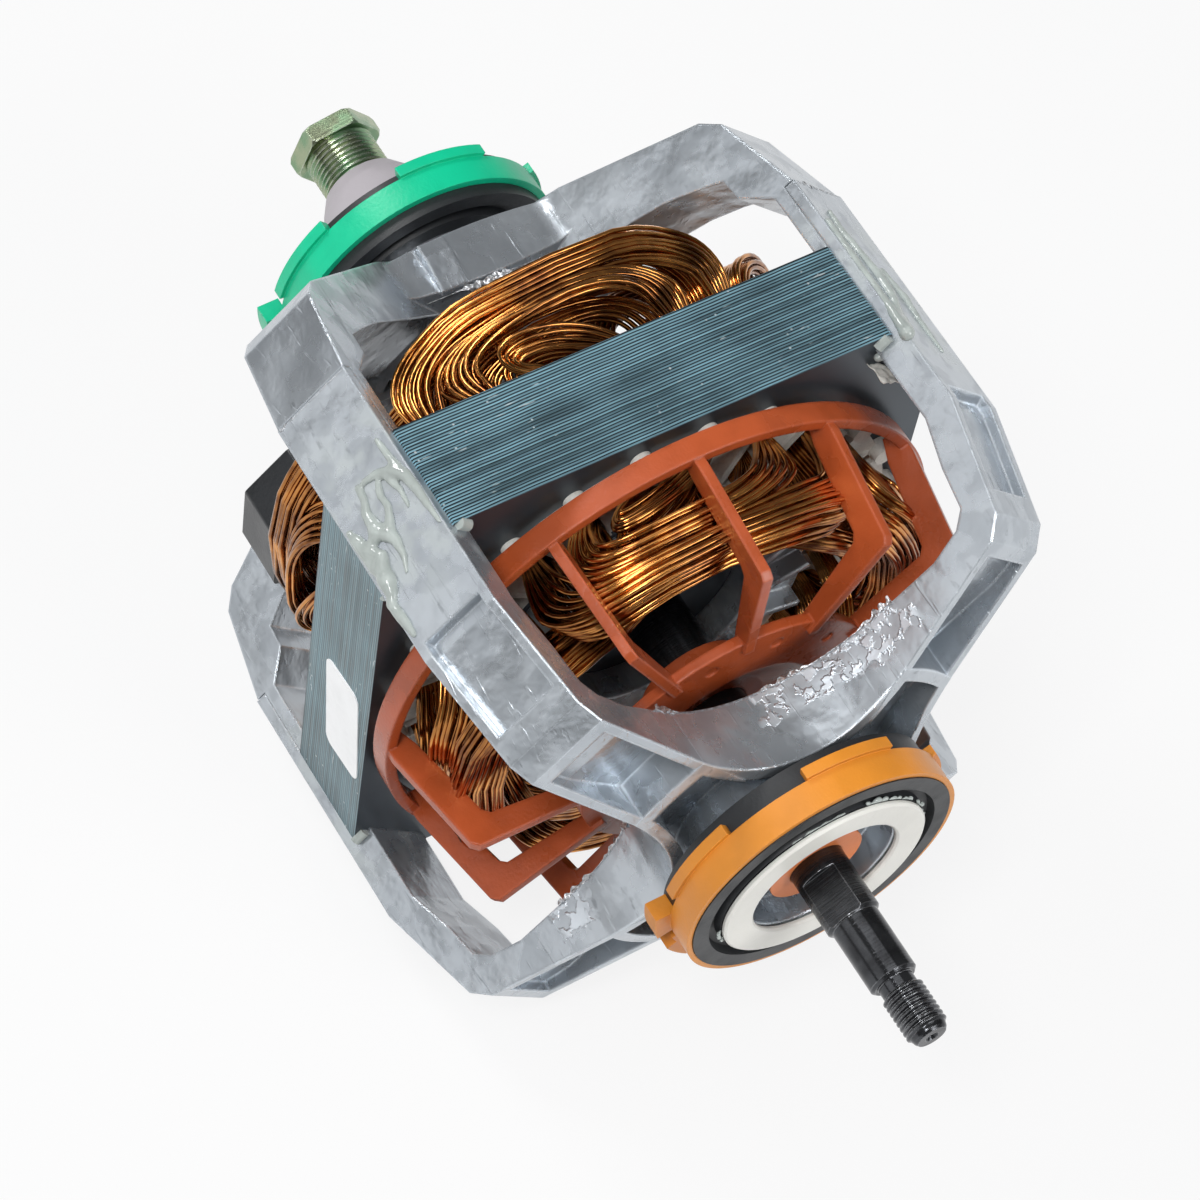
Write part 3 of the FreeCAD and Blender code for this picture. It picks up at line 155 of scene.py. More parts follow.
class Shader:
    """The node tree of one material, measured in millimetres from the middle of the stack."""

    def __init__(self, name: str) -> None:
        """Makes the material with an empty tree.

        Args:
            name: the material's name.
        """
        self.material = bpy.data.materials.new(name)
        self.material.use_nodes = True
        self.tree = self.material.node_tree
        self.tree.nodes.clear()
        where = self.add("ShaderNodeTexCoord").outputs["Object"]
        shift = (-STACK_MIDDLE / MM, 0.0, 0.0)
        self.place = self.add(
            "ShaderNodeMapping", {}, {"Vector": where, "Location": shift, "Scale": (1 / MM, 1 / MM, 1 / MM)}
        ).outputs[0]
        self.x, self.y, self.z = self.split(self.place)

    def add(self, kind: str, settings: dict | None = None, sockets: dict | None = None) -> bpy.types.Node:
        """One node.

        Args:
            kind: the node's type.
            settings: its properties.
            sockets: values or links of its inputs, by name or place.

        Returns:
            The node.
        """
        node = self.tree.nodes.new(kind)
        for name, value in (settings or {}).items():
            setattr(node, name, value)
        for key, value in (sockets or {}).items():
            source = value.socket if isinstance(value, Term) else value
            if isinstance(source, bpy.types.NodeSocket):
                self.tree.links.new(source, node.inputs[key])
            elif isinstance(source, tuple) and len(source) == 3 and node.inputs[key].type == "RGBA":
                node.inputs[key].default_value = (*source, 1.0)
            else:
                node.inputs[key].default_value = source
        return node

    def split(self, vector: bpy.types.NodeSocket) -> tuple[Term, Term, Term]:
        """The three parts of a vector."""
        parts = self.add("ShaderNodeSeparateXYZ", {}, {0: vector}).outputs
        return Term(self, parts[0]), Term(self, parts[1]), Term(self, parts[2])

    def cloud(self, size: float, detail: float = 3.0, stretch: Sequence[float] = (1, 1, 1), seed: float = 0) -> Term:
        """Soft noise.

        Args:
            size: width of its patches in millimetres.
            detail: how many finer layers it has.
            stretch: how many times longer the patches are along each axis.
            seed: moves the pattern to another place.

        Returns:
            A value from 0 to 1.
        """
        scale = tuple(1 / (size * s) for s in stretch)
        settings = {"Vector": self.place, "Scale": scale, "Location": (seed, seed, seed)}
        moved = self.add("ShaderNodeMapping", {}, settings)
        node = self.add("ShaderNodeTexNoise", {}, {"Vector": moved.outputs[0], "Scale": 1.0, "Detail": detail})
        return Term(self, node.outputs[0])

    def specks(self, size: float, share: float) -> Term:
        """Small spots.

        Args:
            size: distance between their cells in millimetres.
            share: how much of a cell a spot may fill.

        Returns:
            A mask from 0 to 1.
        """
        node = self.add("ShaderNodeTexVoronoi", {}, {"Vector": self.place, "Scale": 1 / size})
        return 1 - Term(self, node.outputs["Distance"]).rise(share * 0.5, share)

    def mix(self, first: "Colour | bpy.types.NodeSocket", second: "Colour | bpy.types.NodeSocket",
            share: Term) -> bpy.types.NodeSocket:
        """Colour between two others.

        Args:
            first: the colour at 0.
            second: the colour at 1.
            share: the mask between them.

        Returns:
            The mixed colour.
        """
        node = self.add("ShaderNodeMix", {"data_type": "RGBA"}, {0: share, 6: first, 7: second})
        return node.outputs[2]

    def bump(self, height: Term, depth: float, under: bpy.types.NodeSocket | None = None) -> bpy.types.NodeSocket:
        """Relief.

        Args:
            height: the relief from 0 to 1.
            depth: its depth in millimetres.
            under: the normal it is laid on.

        Returns:
            The new normal.
        """
        sockets = {"Height": height, "Distance": depth * MM, "Strength": 1.0}
        if under is not None:
            sockets["Normal"] = under
        return self.add("ShaderNodeBump", {}, sockets).outputs[0]

    def eased(self, radius: float) -> bpy.types.NodeSocket:
        """Normal with its sharp edges rounded off over a radius in millimetres."""
        return self.add("ShaderNodeBevel", {"samples": 4}, {"Radius": radius * MM}).outputs[0]

    def edges(self, rounded: bpy.types.NodeSocket) -> Term:
        """Mask of the edges that a rounded normal softens."""
        flat = self.add("ShaderNodeNewGeometry").outputs["Normal"]
        node = self.add("ShaderNodeVectorMath", {"operation": "DOT_PRODUCT"}, {0: rounded, 1: flat})
        return 1 - Term(self, node.outputs["Value"]).rise(0.86, 0.995)

    def done(self, **sockets: object) -> bpy.types.Material:
        """The finished material.

        Args:
            sockets: the surface's inputs, with underscores for the spaces of their names.

        Returns:
            The material.
        """
        named = {name.replace("_", " "): value for name, value in sockets.items()}
        surface = self.add("ShaderNodeBsdfPrincipled", {}, named)
        self.add("ShaderNodeOutputMaterial", {}, {"Surface": surface.outputs[0]})
        return self.material


@dataclass(frozen=True)
class Finish:
    """What a surface is made of."""

    name: str
    slot: str
    colour: Colour

    def build(self) -> bpy.types.Material:
        """The material."""
        raise NotImplementedError


@dataclass(frozen=True)
class CastMetal(Finish):
    """Bare die casting: smooth bright skin with cloudy stains, edges painted paler as wear and painted highlight,
    and a torn band inside the windows.
    """

    stain: Colour = (0.28, 0.31, 0.345)
    resin_smear: Colour = (0.5, 0.545, 0.52)
    metallic: float = 0.78
    gloss: float = 0.24
    relief: float = 0.5
    edge_radius: float = 0.9
    # How much lighter the pale colour is: painted on the edges as highlight with some wear, and on the torn band as
    # bright torn metal.
    edge_gain: float = 1.6
    break_start: float = 57.4
    break_end: float = 65.2
    stack_half: float = 13.0
    bond_end: float = 27.0

    def torn_band(self, shade: Shader) -> Term:
        """Mask of the torn metal along the inside of the front windows.

        Args:
            shade: the shader that gets the nodes.

        Returns:
            A mask from 0 to 1.
        """
        side = abs(shade.y).least(abs(shade.z))
        far = WINDOW_CENTRE - abs(shade.y).most(abs(shade.z))
        reach = (side ** 2 + far ** 2) ** 0.5
        ragged = shade.x + (shade.cloud(3.5, 4, seed=5) - 0.5) * 8
        part = (shade.y + (shade.cloud(9, 1, seed=34) - 0.5) * 24).rise(-2, 2).most((-1 * shade.y).rise(36, 44))
        return (1 - abs(reach - WINDOW_RADIUS).rise(0.5, 1.0)) * part * ragged.band(
            self.break_start - 2, self.break_end, 0.3)

    def build(self) -> bpy.types.Material:
        """The material."""
        shade = Shader(self.name)
        clouds = shade.cloud(20, 4, seed=3).rise(0.36, 0.64)
        blotches = shade.cloud(7, 8, seed=11).rise(0.5, 0.58)
        streaks = shade.cloud(1.1, 2, stretch=(14, 1, 3), seed=15).rise(0.62, 0.72)
        rounded = shade.eased(self.edge_radius)
        edge = shade.edges(rounded)
        broken = self.torn_band(shade)
        torn = shade.cloud(2.6, 3, seed=2).rise(0.46, 0.54)
        smear = abs(shade.x).rise(self.bond_end, self.stack_half) * shade.cloud(7, 4, seed=21).rise(0.42, 0.6)
        # pale: lighter casting colour, used on the edges as painted highlight with some wear, and on the torn band
        # as bright torn metal.
        pale = tuple(min(1.0, c * self.edge_gain) for c in self.colour)
        skin = shade.mix(self.stain, self.colour, clouds * 0.3 + 0.7)
        skin = shade.mix(skin, self.stain, blotches * 0.22)
        grime = shade.cloud(2.2, 5, stretch=(2.5, 1, 1), seed=19).rise(0.6, 0.72) * clouds
        skin = shade.mix(skin, tuple(c * 0.5 for c in self.stain), grime * 0.45)
        # Painted highlight: the edges are painted paler, as if they catch the light, along with some wear.
        skin = shade.mix(skin, pale, edge * 0.9)
        skin = shade.mix(skin, pale, broken * (torn * 0.6 + 0.2))
        skin = shade.mix(skin, self.resin_smear, smear * 0.35)
        height = shade.cloud(12, 1, seed=8) * 1.4 + shade.cloud(4.5, 2) * 0.42 + streaks * 0.08
        return shade.done(
            Base_Color=skin,
            Metallic=self.metallic - smear * 0.3,
            Roughness=self.gloss + blotches * 0.05 + broken * 0.12 + clouds * 0.05,
            Normal=shade.bump(height + broken * torn * 0.5, self.relief, rounded),
        )


@dataclass(frozen=True)
class TornMetal(Finish):
    """Crumpled bright edge left where the casting was broken from its runner."""

    def build(self) -> bpy.types.Material:
        """The material."""
        shade = Shader(self.name)
        facets = shade.cloud(0.9, 3, seed=4)
        dull = tuple(c * 0.6 for c in self.colour)
        return shade.done(
            Base_Color=shade.mix(dull, self.colour, facets.rise(0.4, 0.6)),
            Metallic=0.9,
            Roughness=0.25 + facets * 0.2,
            Normal=shade.bump(facets, 0.35),
        )


@dataclass(frozen=True)
class Laminations(Finish):
    """Blued steel sheets, seen edge on along the outside and flat on the two faces."""

    # Painted light: the left face of the stack, the same edge-on sheets as the top, gets this lighter grey for how
    # the light falls on it.
    side: Colour = (0.20, 0.235, 0.235)
    face: Colour = (0.045, 0.058, 0.072)
    scuff: Colour = (0.6, 0.66, 0.68)
    relief: float = 0.16
    pitch: float = 0.72
    half_length: float = 12.7
    half_side: float = 67.6

    def build(self) -> bpy.types.Material:
        """The material."""
        shade = Shader(self.name)
        wander = (shade.cloud(14, 2, seed=4) - 0.5) * 0.5
        sheets = ((shade.x + wander) * (2 * math.pi / self.pitch)).sine() * 0.5 + 0.5
        gaps = 1 - sheets.rise(0.2, 0.6)
        streaks = shade.cloud(0.7, 3, stretch=(0.6, 60, 60), seed=7).rise(0.3, 0.7)
        patches = shade.cloud(18, 3, seed=9).rise(0.35, 0.65)
        flat = abs(shade.x).rise(self.half_length - 0.12, self.half_length - 0.04)
        # Mask of the left face, where the painted lighter grey goes.
        left = 1 - shade.y.rise(-self.half_side - 0.3, -self.half_side + 0.5)
        tone = shade.cloud(0.5, 0, stretch=(1, 300, 300), seed=40).rise(0.3, 0.7)
        dark = tuple(c * 0.4 for c in self.colour)
        light = tuple(min(1.0, c * 2.6) for c in self.colour)
        skin = shade.mix(shade.mix(dark, self.colour, patches), light, tone * 0.45 + streaks * 0.35 + patches * 0.15)
        # Painted light: the left face is painted its lighter grey, and most of its dark sheet gaps are left out.
        skin = shade.mix(skin, self.side, left * 0.8)
        skin = shade.mix(skin, tuple(c * 0.06 for c in self.colour), gaps * (1 - left * 0.9))
        scratches = shade.cloud(0.6, 2, stretch=(1, 9, 9), seed=31).rise(0.68, 0.74)
        scuffs = (shade.specks(2.6, 0.14) + scratches) * shade.cloud(11, 2, seed=1).rise(0.5, 0.6)
        skin = shade.mix(skin, self.scuff, scuffs * (1 - flat))
        skin = shade.mix(skin, self.face, flat)
        return shade.done(
            Base_Color=skin,
            Metallic=0.6,
            Roughness=0.36 + streaks * 0.12 - flat * 0.06,
            Normal=shade.bump(sheets.rise(0.0, 0.5) * (1 - flat) + streaks * 0.3, self.relief),
        )


@dataclass(frozen=True)
class Enamelled(Finish):
    """Enamelled copper wire: amber varnish over bright metal, dark brown in large random patches."""

    dark: Colour = (0.17, 0.055, 0.012)

    def build(self) -> bpy.types.Material:
        """The material."""
        shade = Shader(self.name)
        patch = shade.cloud(16, 2, seed=2).rise(0.35, 0.65)
        # Darker in large random patches.
        skin = shade.mix(self.dark, self.colour, patch * 0.7 + shade.cloud(3, 1, seed=6).rise(0.3, 0.7) * 0.3)
        return shade.done(
            Base_Color=skin,
            Metallic=1.0,
            Roughness=0.15 + patch * 0.05,
            Coat_Weight=0.3,
            Coat_Roughness=0.08,
        )


@dataclass(frozen=True)
class Moulding(Finish):
    """Moulded plastic with faint flow marks, softened edges and a painted highlight along them."""

    gloss: float = 0.34
    flow: float = 0.18
    relief: float = 0.06
    edge_radius: float = 0.4

    def build(self) -> bpy.types.Material:
        """The material."""
        shade = Shader(self.name)
        flow = shade.cloud(12, 4, seed=3).rise(0.35, 0.65)
        grain = shade.cloud(0.8, 2)
        rounded = shade.eased(self.edge_radius)
        edge = shade.edges(rounded)
        deep = tuple(c * (1 - self.flow) for c in self.colour)
        # Painted highlight: pale is painted on the edges, as if they catch the light.
        pale = tuple(min(1.0, c * 1.35 + 0.03) for c in self.colour)
        skin = shade.mix(shade.mix(deep, self.colour, flow), pale, edge * 0.55)
        return shade.done(
            Base_Color=skin,
            Roughness=self.gloss + flow * 0.08,
            Normal=shade.bump(grain + flow, self.relief, rounded),
        )


@dataclass(frozen=True)
class TurnedMetal(Finish):
    """Turned metal with fine rings along the shaft and edges painted bright, as wear and painted highlight."""

    metallic: float = 0.8
    gloss: float = 0.28
    edge_radius: float = 0.35
    # Colour painted on the edges: partly wear, partly painted highlight.
    edge_wear_and_highlight: Colour = (0.45, 0.46, 0.48)
    tint: Colour = (0.02, 0.02, 0.022)

    def build(self) -> bpy.types.Material:
        """The material."""
        shade = Shader(self.name)
        rings = shade.cloud(0.35, 3, stretch=(1, 40, 40)).rise(0.3, 0.7)
        patch = shade.cloud(7, 4, seed=5).rise(0.4, 0.65)
        rounded = shade.eased(self.edge_radius)
        edge = shade.edges(rounded)
        skin = shade.mix(self.colour, self.tint, patch * 0.6)
        # Painted highlight with some wear: the edges are painted brighter, as if they catch the light.
        skin = shade.mix(skin, self.edge_wear_and_highlight, edge * 0.7)
        return shade.done(
            Base_Color=skin,
            Metallic=self.metallic,
            Roughness=self.gloss + patch * 0.12 + rings * 0.06,
            Normal=shade.bump(rings, 0.02, rounded),
        )


@dataclass(frozen=True)
class Soft(Finish):
    """Felt, paper, rubber or film: a plain dull skin with fibres or grain."""

    gloss: float = 0.7
    grain_size: float = 0.7
    relief: float = 0.08
    soil: float = 0.25

    def build(self) -> bpy.types.Material:
        """The material."""
        shade = Shader(self.name)
        grain = shade.cloud(self.grain_size, 4)
        patch = shade.cloud(8, 4, seed=6).rise(0.4, 0.7)
        dull = tuple(c * (1 - self.soil) for c in self.colour)
        skin = shade.mix(self.colour, dull, patch * 0.6 + grain.rise(0.4, 0.7) * 0.4)
        return shade.done(
            Base_Color=skin,
            Roughness=self.gloss + patch * 0.1,
            Normal=shade.bump(grain, self.relief),
        )


@dataclass(frozen=True)
class Resin(Finish):
    """Cured bonding resin: pale, milky and wet looking."""

    def build(self) -> bpy.types.Material:
        """The material."""
        shade = Shader(self.name)
        patch = shade.cloud(4, 3, seed=2).rise(0.35, 0.7)
        dull = tuple(c * 0.82 for c in self.colour)
        return shade.done(
            Base_Color=shade.mix(dull, self.colour, patch),
            Roughness=0.1 + patch * 0.08,
            Normal=shade.bump(shade.cloud(1.8, 2), 0.12),
        )


class Finishes(Enum):
    """Every finish of the motor."""

    CASTING = CastMetal("cast_aluminium", "cast_aluminium", (0.53, 0.57, 0.61))
    TORN = TornMetal("torn_aluminium", "cast_aluminium", (0.74, 0.76, 0.79))
    SHEETS = Laminations("lamination_steel", "lamination_steel", (0.125, 0.225, 0.270))
    WIRE = Enamelled("copper_wire", "copper_wire", (0.76, 0.33, 0.08))
    PAPER = Soft("slot_paper", "slot_paper", (0.78, 0.77, 0.72), gloss=0.55, relief=0.03)
    FAN = Moulding("fan_plastic", "fan_plastic", (0.44, 0.082, 0.022), gloss=0.25, flow=0.2, edge_radius=0.9)
    ORANGE = Moulding("orange_plastic", "orange_plastic", (0.72, 0.26, 0.022), gloss=0.36, flow=0.1)
    GREEN = Moulding("green_plastic", "green_plastic", (0.0, 0.57, 0.30), gloss=0.32, flow=0.12)
    FLANGE = Moulding("flange_plastic", "flange_plastic", (0.80, 0.79, 0.74), gloss=0.32, flow=0.06)
    SLEEVE = Moulding("sleeve_plastic", "sleeve_plastic", (0.45, 0.42, 0.45), gloss=0.5, flow=0.1)
    SLINGER = Moulding("slinger_plastic", "slinger_plastic", (0.78, 0.22, 0.06), gloss=0.4, flow=0.1)
    BLACK = Moulding("black_plastic", "black_plastic", (0.012, 0.014, 0.017), gloss=0.28, flow=0.3)
    SHAFT = TurnedMetal("shaft_steel", "shaft_steel", (0.075, 0.078, 0.084), metallic=0.9, gloss=0.1)
    ZINC = TurnedMetal(
        "zinc_steel", "zinc_steel", (0.36, 0.41, 0.27), metallic=0.95, gloss=0.16, edge_wear_and_highlight=(0.80, 0.84, 0.75),
        tint=(0.13, 0.32, 0.18))
    PRESSED = TurnedMetal(
        "pressed_steel", "pressed_steel", (0.48, 0.49, 0.51), metallic=0.9, gloss=0.3, edge_wear_and_highlight=(0.8, 0.8, 0.8),
        tint=(0.3, 0.3, 0.31))
    BRONZE = TurnedMetal(
        "bearing_bronze", "bearing_bronze", (0.45, 0.28, 0.10), metallic=0.9, gloss=0.38, edge_wear_and_highlight=(0.7, 0.5, 0.3),
        tint=(0.3, 0.17, 0.06))
    BRASS = TurnedMetal(
        "tinned_brass", "tinned_brass", (0.62, 0.58, 0.45), metallic=0.9, gloss=0.3, edge_wear_and_highlight=(0.85, 0.82, 0.7),
        tint=(0.4, 0.36, 0.25))
    RUBBER = Soft("ring_rubber", "ring_rubber", (0.021, 0.023, 0.026), gloss=0.42, relief=0.05)
    FELT = Soft("felt", "felt", (0.52, 0.47, 0.38), gloss=0.95, grain_size=0.4, relief=0.3)
    LEADS = Soft("lead_sheath", "lead_sheath", (0.45, 0.45, 0.42), gloss=0.5)
    LABEL = Soft("label_film", "label_film", (0.95, 0.96, 0.97), gloss=0.3, grain_size=2.0, relief=0.02, soil=0.06)
    RESIN = Resin("bond_resin", "bond_resin", (0.43, 0.475, 0.455))


class Wardrobe:
    """Builds each finish once and lays it on pieces."""

    def __init__(self) -> None:
        """Starts with no material built."""
        self.made: dict[Finishes, bpy.types.Material] = {}

    def material(self, finish: Finishes) -> bpy.types.Material:
        """The material of a finish, built at its first use."""
        if finish not in self.made:
            self.made[finish] = finish.value.build()
        return self.made[finish]

    def dress_nodes(self, finish: Finishes, names: Sequence[str]) -> None:
        """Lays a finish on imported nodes.

        Args:
            finish: the finish.
            names: the nodes' names.
        """
        for name in names:
            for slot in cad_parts[name].material_slots:
                slot.material = self.material(finish)
        LOG.info("%s on %s", finish.value.name, ", ".join(names))

    def dress_piece(self, piece: bpy.types.Object, finish: Finishes, body: str) -> bpy.types.Object:
        """Lays a finish on a new piece and lets it ride on a body.

        Args:
            piece: the new piece.
            finish: its finish.
            body: the body that carries it.

        Returns:
            The piece.
        """
        piece.data.materials.clear()
        piece.data.materials.append(self.material(finish))
        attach(piece, body)
        LOG.info("%s rides on %s", piece.name, body)
        return piece


def piece_from(name: str, shape: bmesh.types.BMesh, smooth: bool = True) -> bpy.types.Object:
    """Object of a finished shape.

    Args:
        name: the piece's name.
        shape: its mesh, freed here.
        smooth: whether its faces are shaded smooth.

    Returns:
        The object, at the origin.
    """
    mesh = bpy.data.meshes.new(name)
    shape.to_mesh(mesh)
    shape.free()
    for face in mesh.polygons:
        face.use_smooth = smooth
    piece = bpy.data.objects.new(name, mesh)
    bpy.context.scene.collection.objects.link(piece)
    return piece


def settled(piece: bpy.types.Object) -> bpy.types.Object:
    """The piece with its modifiers worked into its mesh.

    Args:
        piece: a piece with modifiers.

    Returns:
        The same piece without them.
    """
    view = bpy.context.evaluated_depsgraph_get()
    mesh = bpy.data.meshes.new_from_object(piece.evaluated_get(view))
    piece.modifiers.clear()
    piece.data = mesh
    for face in mesh.polygons:
        face.use_smooth = True
    return piece


@dataclass(frozen=True)
class Nest:
    """One bundle of loops between two slots, in millimetres and degrees.

    Attributes:
        half_span: angle from the coil's middle to the slot.
        height: how far the end turns stand out of the stack.
        height_spread: half the bundle's thickness along the shaft.
        rows: wires through that thickness.
        first: whether it is the innermost bundle, with its inner row filled.
        last: whether it is the outermost one, with its outer rows filled.
        squareness: 2 for round end turns, more for square ones.
        bulge: how much wider the crest is than the slots.
        fan: how far its rows spread sideways.
        twist: how far the bundle turns on the way round, in radians.
        lean: how far the crest leans to one side.
    """

    half_span: float
    height: float
    height_spread: float
    rows: int
    first: bool
    last: bool
    squareness: float
    bulge: float
    fan: float
    twist: float
    lean: float


@dataclass
class Winding:
    """One coil: bundles of loops through the slots and round both ends."""

    name: str
    node: str
    nests: Sequence[Nest]
    slot_radius: float
    slot_depth: float
    front_radius: float
    rear_radius: float
    crest_depth: float
    layers: int
    seed: int
    wire_radius: float = 0.55
    half_stack: float = 14.2
    slot_half_width: float = 1.7
    rear_extra: float = 1.7
    turn_steps: int = 30
    crest_power: float = 1.4
    fan_gain: float = 1.6
    wander: float = 1.5
    wander_rate: float = 48.0
    looseness: float = 0.16

    def __post_init__(self) -> None:
        """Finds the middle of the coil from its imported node."""
        low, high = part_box(self.node)
        middle = (Vector(low) + Vector(high)) / 2
        self.middle_angle = math.degrees(math.atan2(middle.z, middle.y))
        self.luck = random.Random(self.seed)

    def spot(self, side: int, nest: Nest, across: float, depth: float, step: float, twist: float) -> Vector:
        """Place on one end turn.

        Args:
            side: 1 at the front, -1 at the rear.
            nest: the bundle.
            across: the strand's place in the bundle's height, from -1 to 1.
            depth: its place in the bundle's depth, from -1 to 1.
            step: 0 at one slot and 1 at the other.
            twist: how far the strand turns within the bundle, in radians.

        Returns:
            The point in metres.
        """
        turn = math.pi * step
        cosine = math.cos(turn)
        flat = math.copysign(abs(cosine) ** (2 / nest.squareness), cosine)
        lift = math.sin(turn) ** (2 / nest.squareness)
        spin = twist * math.sin(turn)
        inner = across * math.cos(spin) - depth * math.sin(spin)
        outer = across * math.sin(spin) + depth * math.cos(spin)
        top = nest.height + (self.rear_extra if side < 0 else 0.0)
        height = (top + inner * nest.height_spread) * lift
        crest = self.front_radius if side > 0 else self.rear_radius
        slot_way = self.slot_radius + depth * self.slot_depth
        crest_way = crest + outer * self.crest_depth
        radius = slot_way + (crest_way - slot_way) * lift ** self.crest_power
        spread = math.degrees((1 - lift) * across * self.slot_half_width / radius)
        wide = nest.fan * inner * min(1.0, lift * self.fan_gain)
        angle = (nest.half_span + spread + wide + nest.bulge * lift) * flat + nest.lean * lift
        return on_axis(side * (self.half_stack + height), radius, self.middle_angle + angle)

    def strand(self, curve: bpy.types.Curve, nest: Nest, across: float, depth: float) -> None:
        """One closed loop of wire.

        Args:
            curve: the curve that gets it.
            nest: its bundle.
            across: its place in the bundle's height.
            depth: its place in the bundle's depth.
        """
        twist = nest.twist + self.luck.uniform(-0.12, 0.12)
        shift = Vector([self.luck.uniform(-self.looseness, self.looseness) for _ in range(3)])
        points = []
        for side, steps in ((1, range(self.turn_steps + 1)), (-1, range(self.turn_steps, -1, -1))):
            for i in steps:
                step = i / self.turn_steps
                point = self.spot(side, nest, across, depth, step, twist)
                loose = math.sin(math.pi * step) * self.wander * MM
                points.append(point + noise.noise_vector(point * self.wander_rate + shift) * loose)
        spline = curve.splines.new("POLY")
        spline.points.add(len(points) - 1)
        spline.points.foreach_set("co", [value for point in points for value in (*point, 1.0)])
        spline.use_cyclic_u = True

    def build(self) -> bpy.types.Object:
        """The coil as one curve of many loops."""
        curve = bpy.data.curves.new(self.name, "CURVE")
        curve.dimensions = "3D"
        curve.bevel_depth = self.wire_radius * MM
        curve.bevel_resolution = 2
        curve.use_fill_caps = False
        for nest in self.nests:
            for row in range(nest.rows):
                for layer in range(self.layers):
                    across = (row + 0.5) / nest.rows * 2 - 1 + self.luck.uniform(-0.3, 0.3) / nest.rows
                    depth = (layer + 0.5) / self.layers * 2 - 1 + self.luck.uniform(-0.3, 0.3) / self.layers
                    shell = 1 < layer < self.layers - 2
                    edge_row = (nest.first and row == 0) or (nest.last and row >= nest.rows - 2)
                    if not shell or edge_row:
                        self.strand(curve, nest, across, depth)
        coil = bpy.data.objects.new(self.name, curve)
        bpy.context.scene.collection.objects.link(coil)
        core = self.node.replace("coil", "core")
        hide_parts(self.node, *[name for name in (core,) if name != self.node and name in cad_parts])
        return coil


@dataclass
class Stator:
    """Lamination stack with its insulation and eight coils."""

    wardrobe: Wardrobe
    main_nests: tuple[Nest, ...] = (
        Nest(7.5, 7.8, 2.8, 4, True, False, 2.2, 2.0, 3.4, 0.35, 15.0),
        Nest(22.5, 14.2, 3.5, 6, False, False, 3.0, 5.0, 5.2, -0.3, 7.0),
        Nest(37.5, 20.4, 3.8, 6, False, True, 4.2, 2.2, 4.8, 0.2, 0.5),
    )
    start_nests: tuple[Nest, ...] = (
        Nest(22.5, 14.0, 2.6, 4, True, False, 2.6, 0.5, 2.5, 0.2, 0.0),
        Nest(37.5, 19.8, 2.8, 5, False, True, 3.0, 0.5, 2.5, -0.2, 0.0),
    )

    def build(self) -> None:
        """Dresses the stack and winds the coils."""
        self.wardrobe.dress_nodes(Finishes.SHEETS, ["stator_core"])
        self.wardrobe.dress_nodes(Finishes.PAPER, ["front_end_insulator", "rear_end_insulator", "slot_liners"])
        for i in range(1, 5):
            main = Winding(
                f"main_winding_{i}", f"main_coil_{i}", self.main_nests, slot_radius=52.5, slot_depth=5.0,
                front_radius=53.8, rear_radius=58.0, crest_depth=6.0, layers=10, seed=i)
            self.wardrobe.dress_piece(main.build(), Finishes.WIRE, "frame")
            start = Winding(
                f"start_winding_{i}", f"start_coil_{i}", self.start_nests, slot_radius=45.2, slot_depth=1.6,
                front_radius=44.8, rear_radius=45.6, crest_depth=1.9, layers=4, seed=20 + i)
            self.wardrobe.dress_piece(start.build(), Finishes.WIRE, "frame")
        coils = [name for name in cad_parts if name.startswith(("main_co", "start_co"))]
        self.wardrobe.dress_nodes(Finishes.WIRE, coils)
        self.wardrobe.dress_nodes(Finishes.LABEL, ["blank_label"])


@dataclass(frozen=True)
class ArmFace:
    """Outer face of one upper arm, with places along, across and above it in millimetres."""

    side: int
    radius: float = 87.6

    def point(self, x: float, across: float, lift: float = 0.0) -> Vector:
        """A place on the face.

        Args:
            x: along the shaft from the middle of the stack.
            across: from the arm's middle line towards the top.
            lift: above the face.

        Returns:
            The point in metres.
        """
        slope = math.sqrt(0.5)
        out = self.radius + lift
        return Vector((
            STACK_MIDDLE + x * MM,
            self.side * slope * (out - across) * MM,
            slope * (out + across) * MM,
        ))


def skin_over(name: str, balls: Sequence[tuple[Vector, float]], voxel: float = 0.42) -> bpy.types.Object:
    """Smooth skin over many balls that run together.

    Args:
        name: the piece's name.
        balls: centres in metres and radii in millimetres.
        voxel: fineness of the skin in millimetres.

    Returns:
        The piece.
    """
    shape = bmesh.new()
    for centre, radius in balls:
        place = Matrix.Translation(centre) @ Matrix.Scale(radius * MM, 4)
        bmesh.ops.create_icosphere(shape, subdivisions=2, radius=1.0, matrix=place)
    piece = piece_from(name, shape)
    skin = piece.modifiers.new("skin", "REMESH")
    skin.mode = "VOXEL"
    skin.voxel_size = voxel * MM
    soft = piece.modifiers.new("soft", "SMOOTH")
    soft.factor = 0.5
    soft.iterations = 5
    return settled(piece)


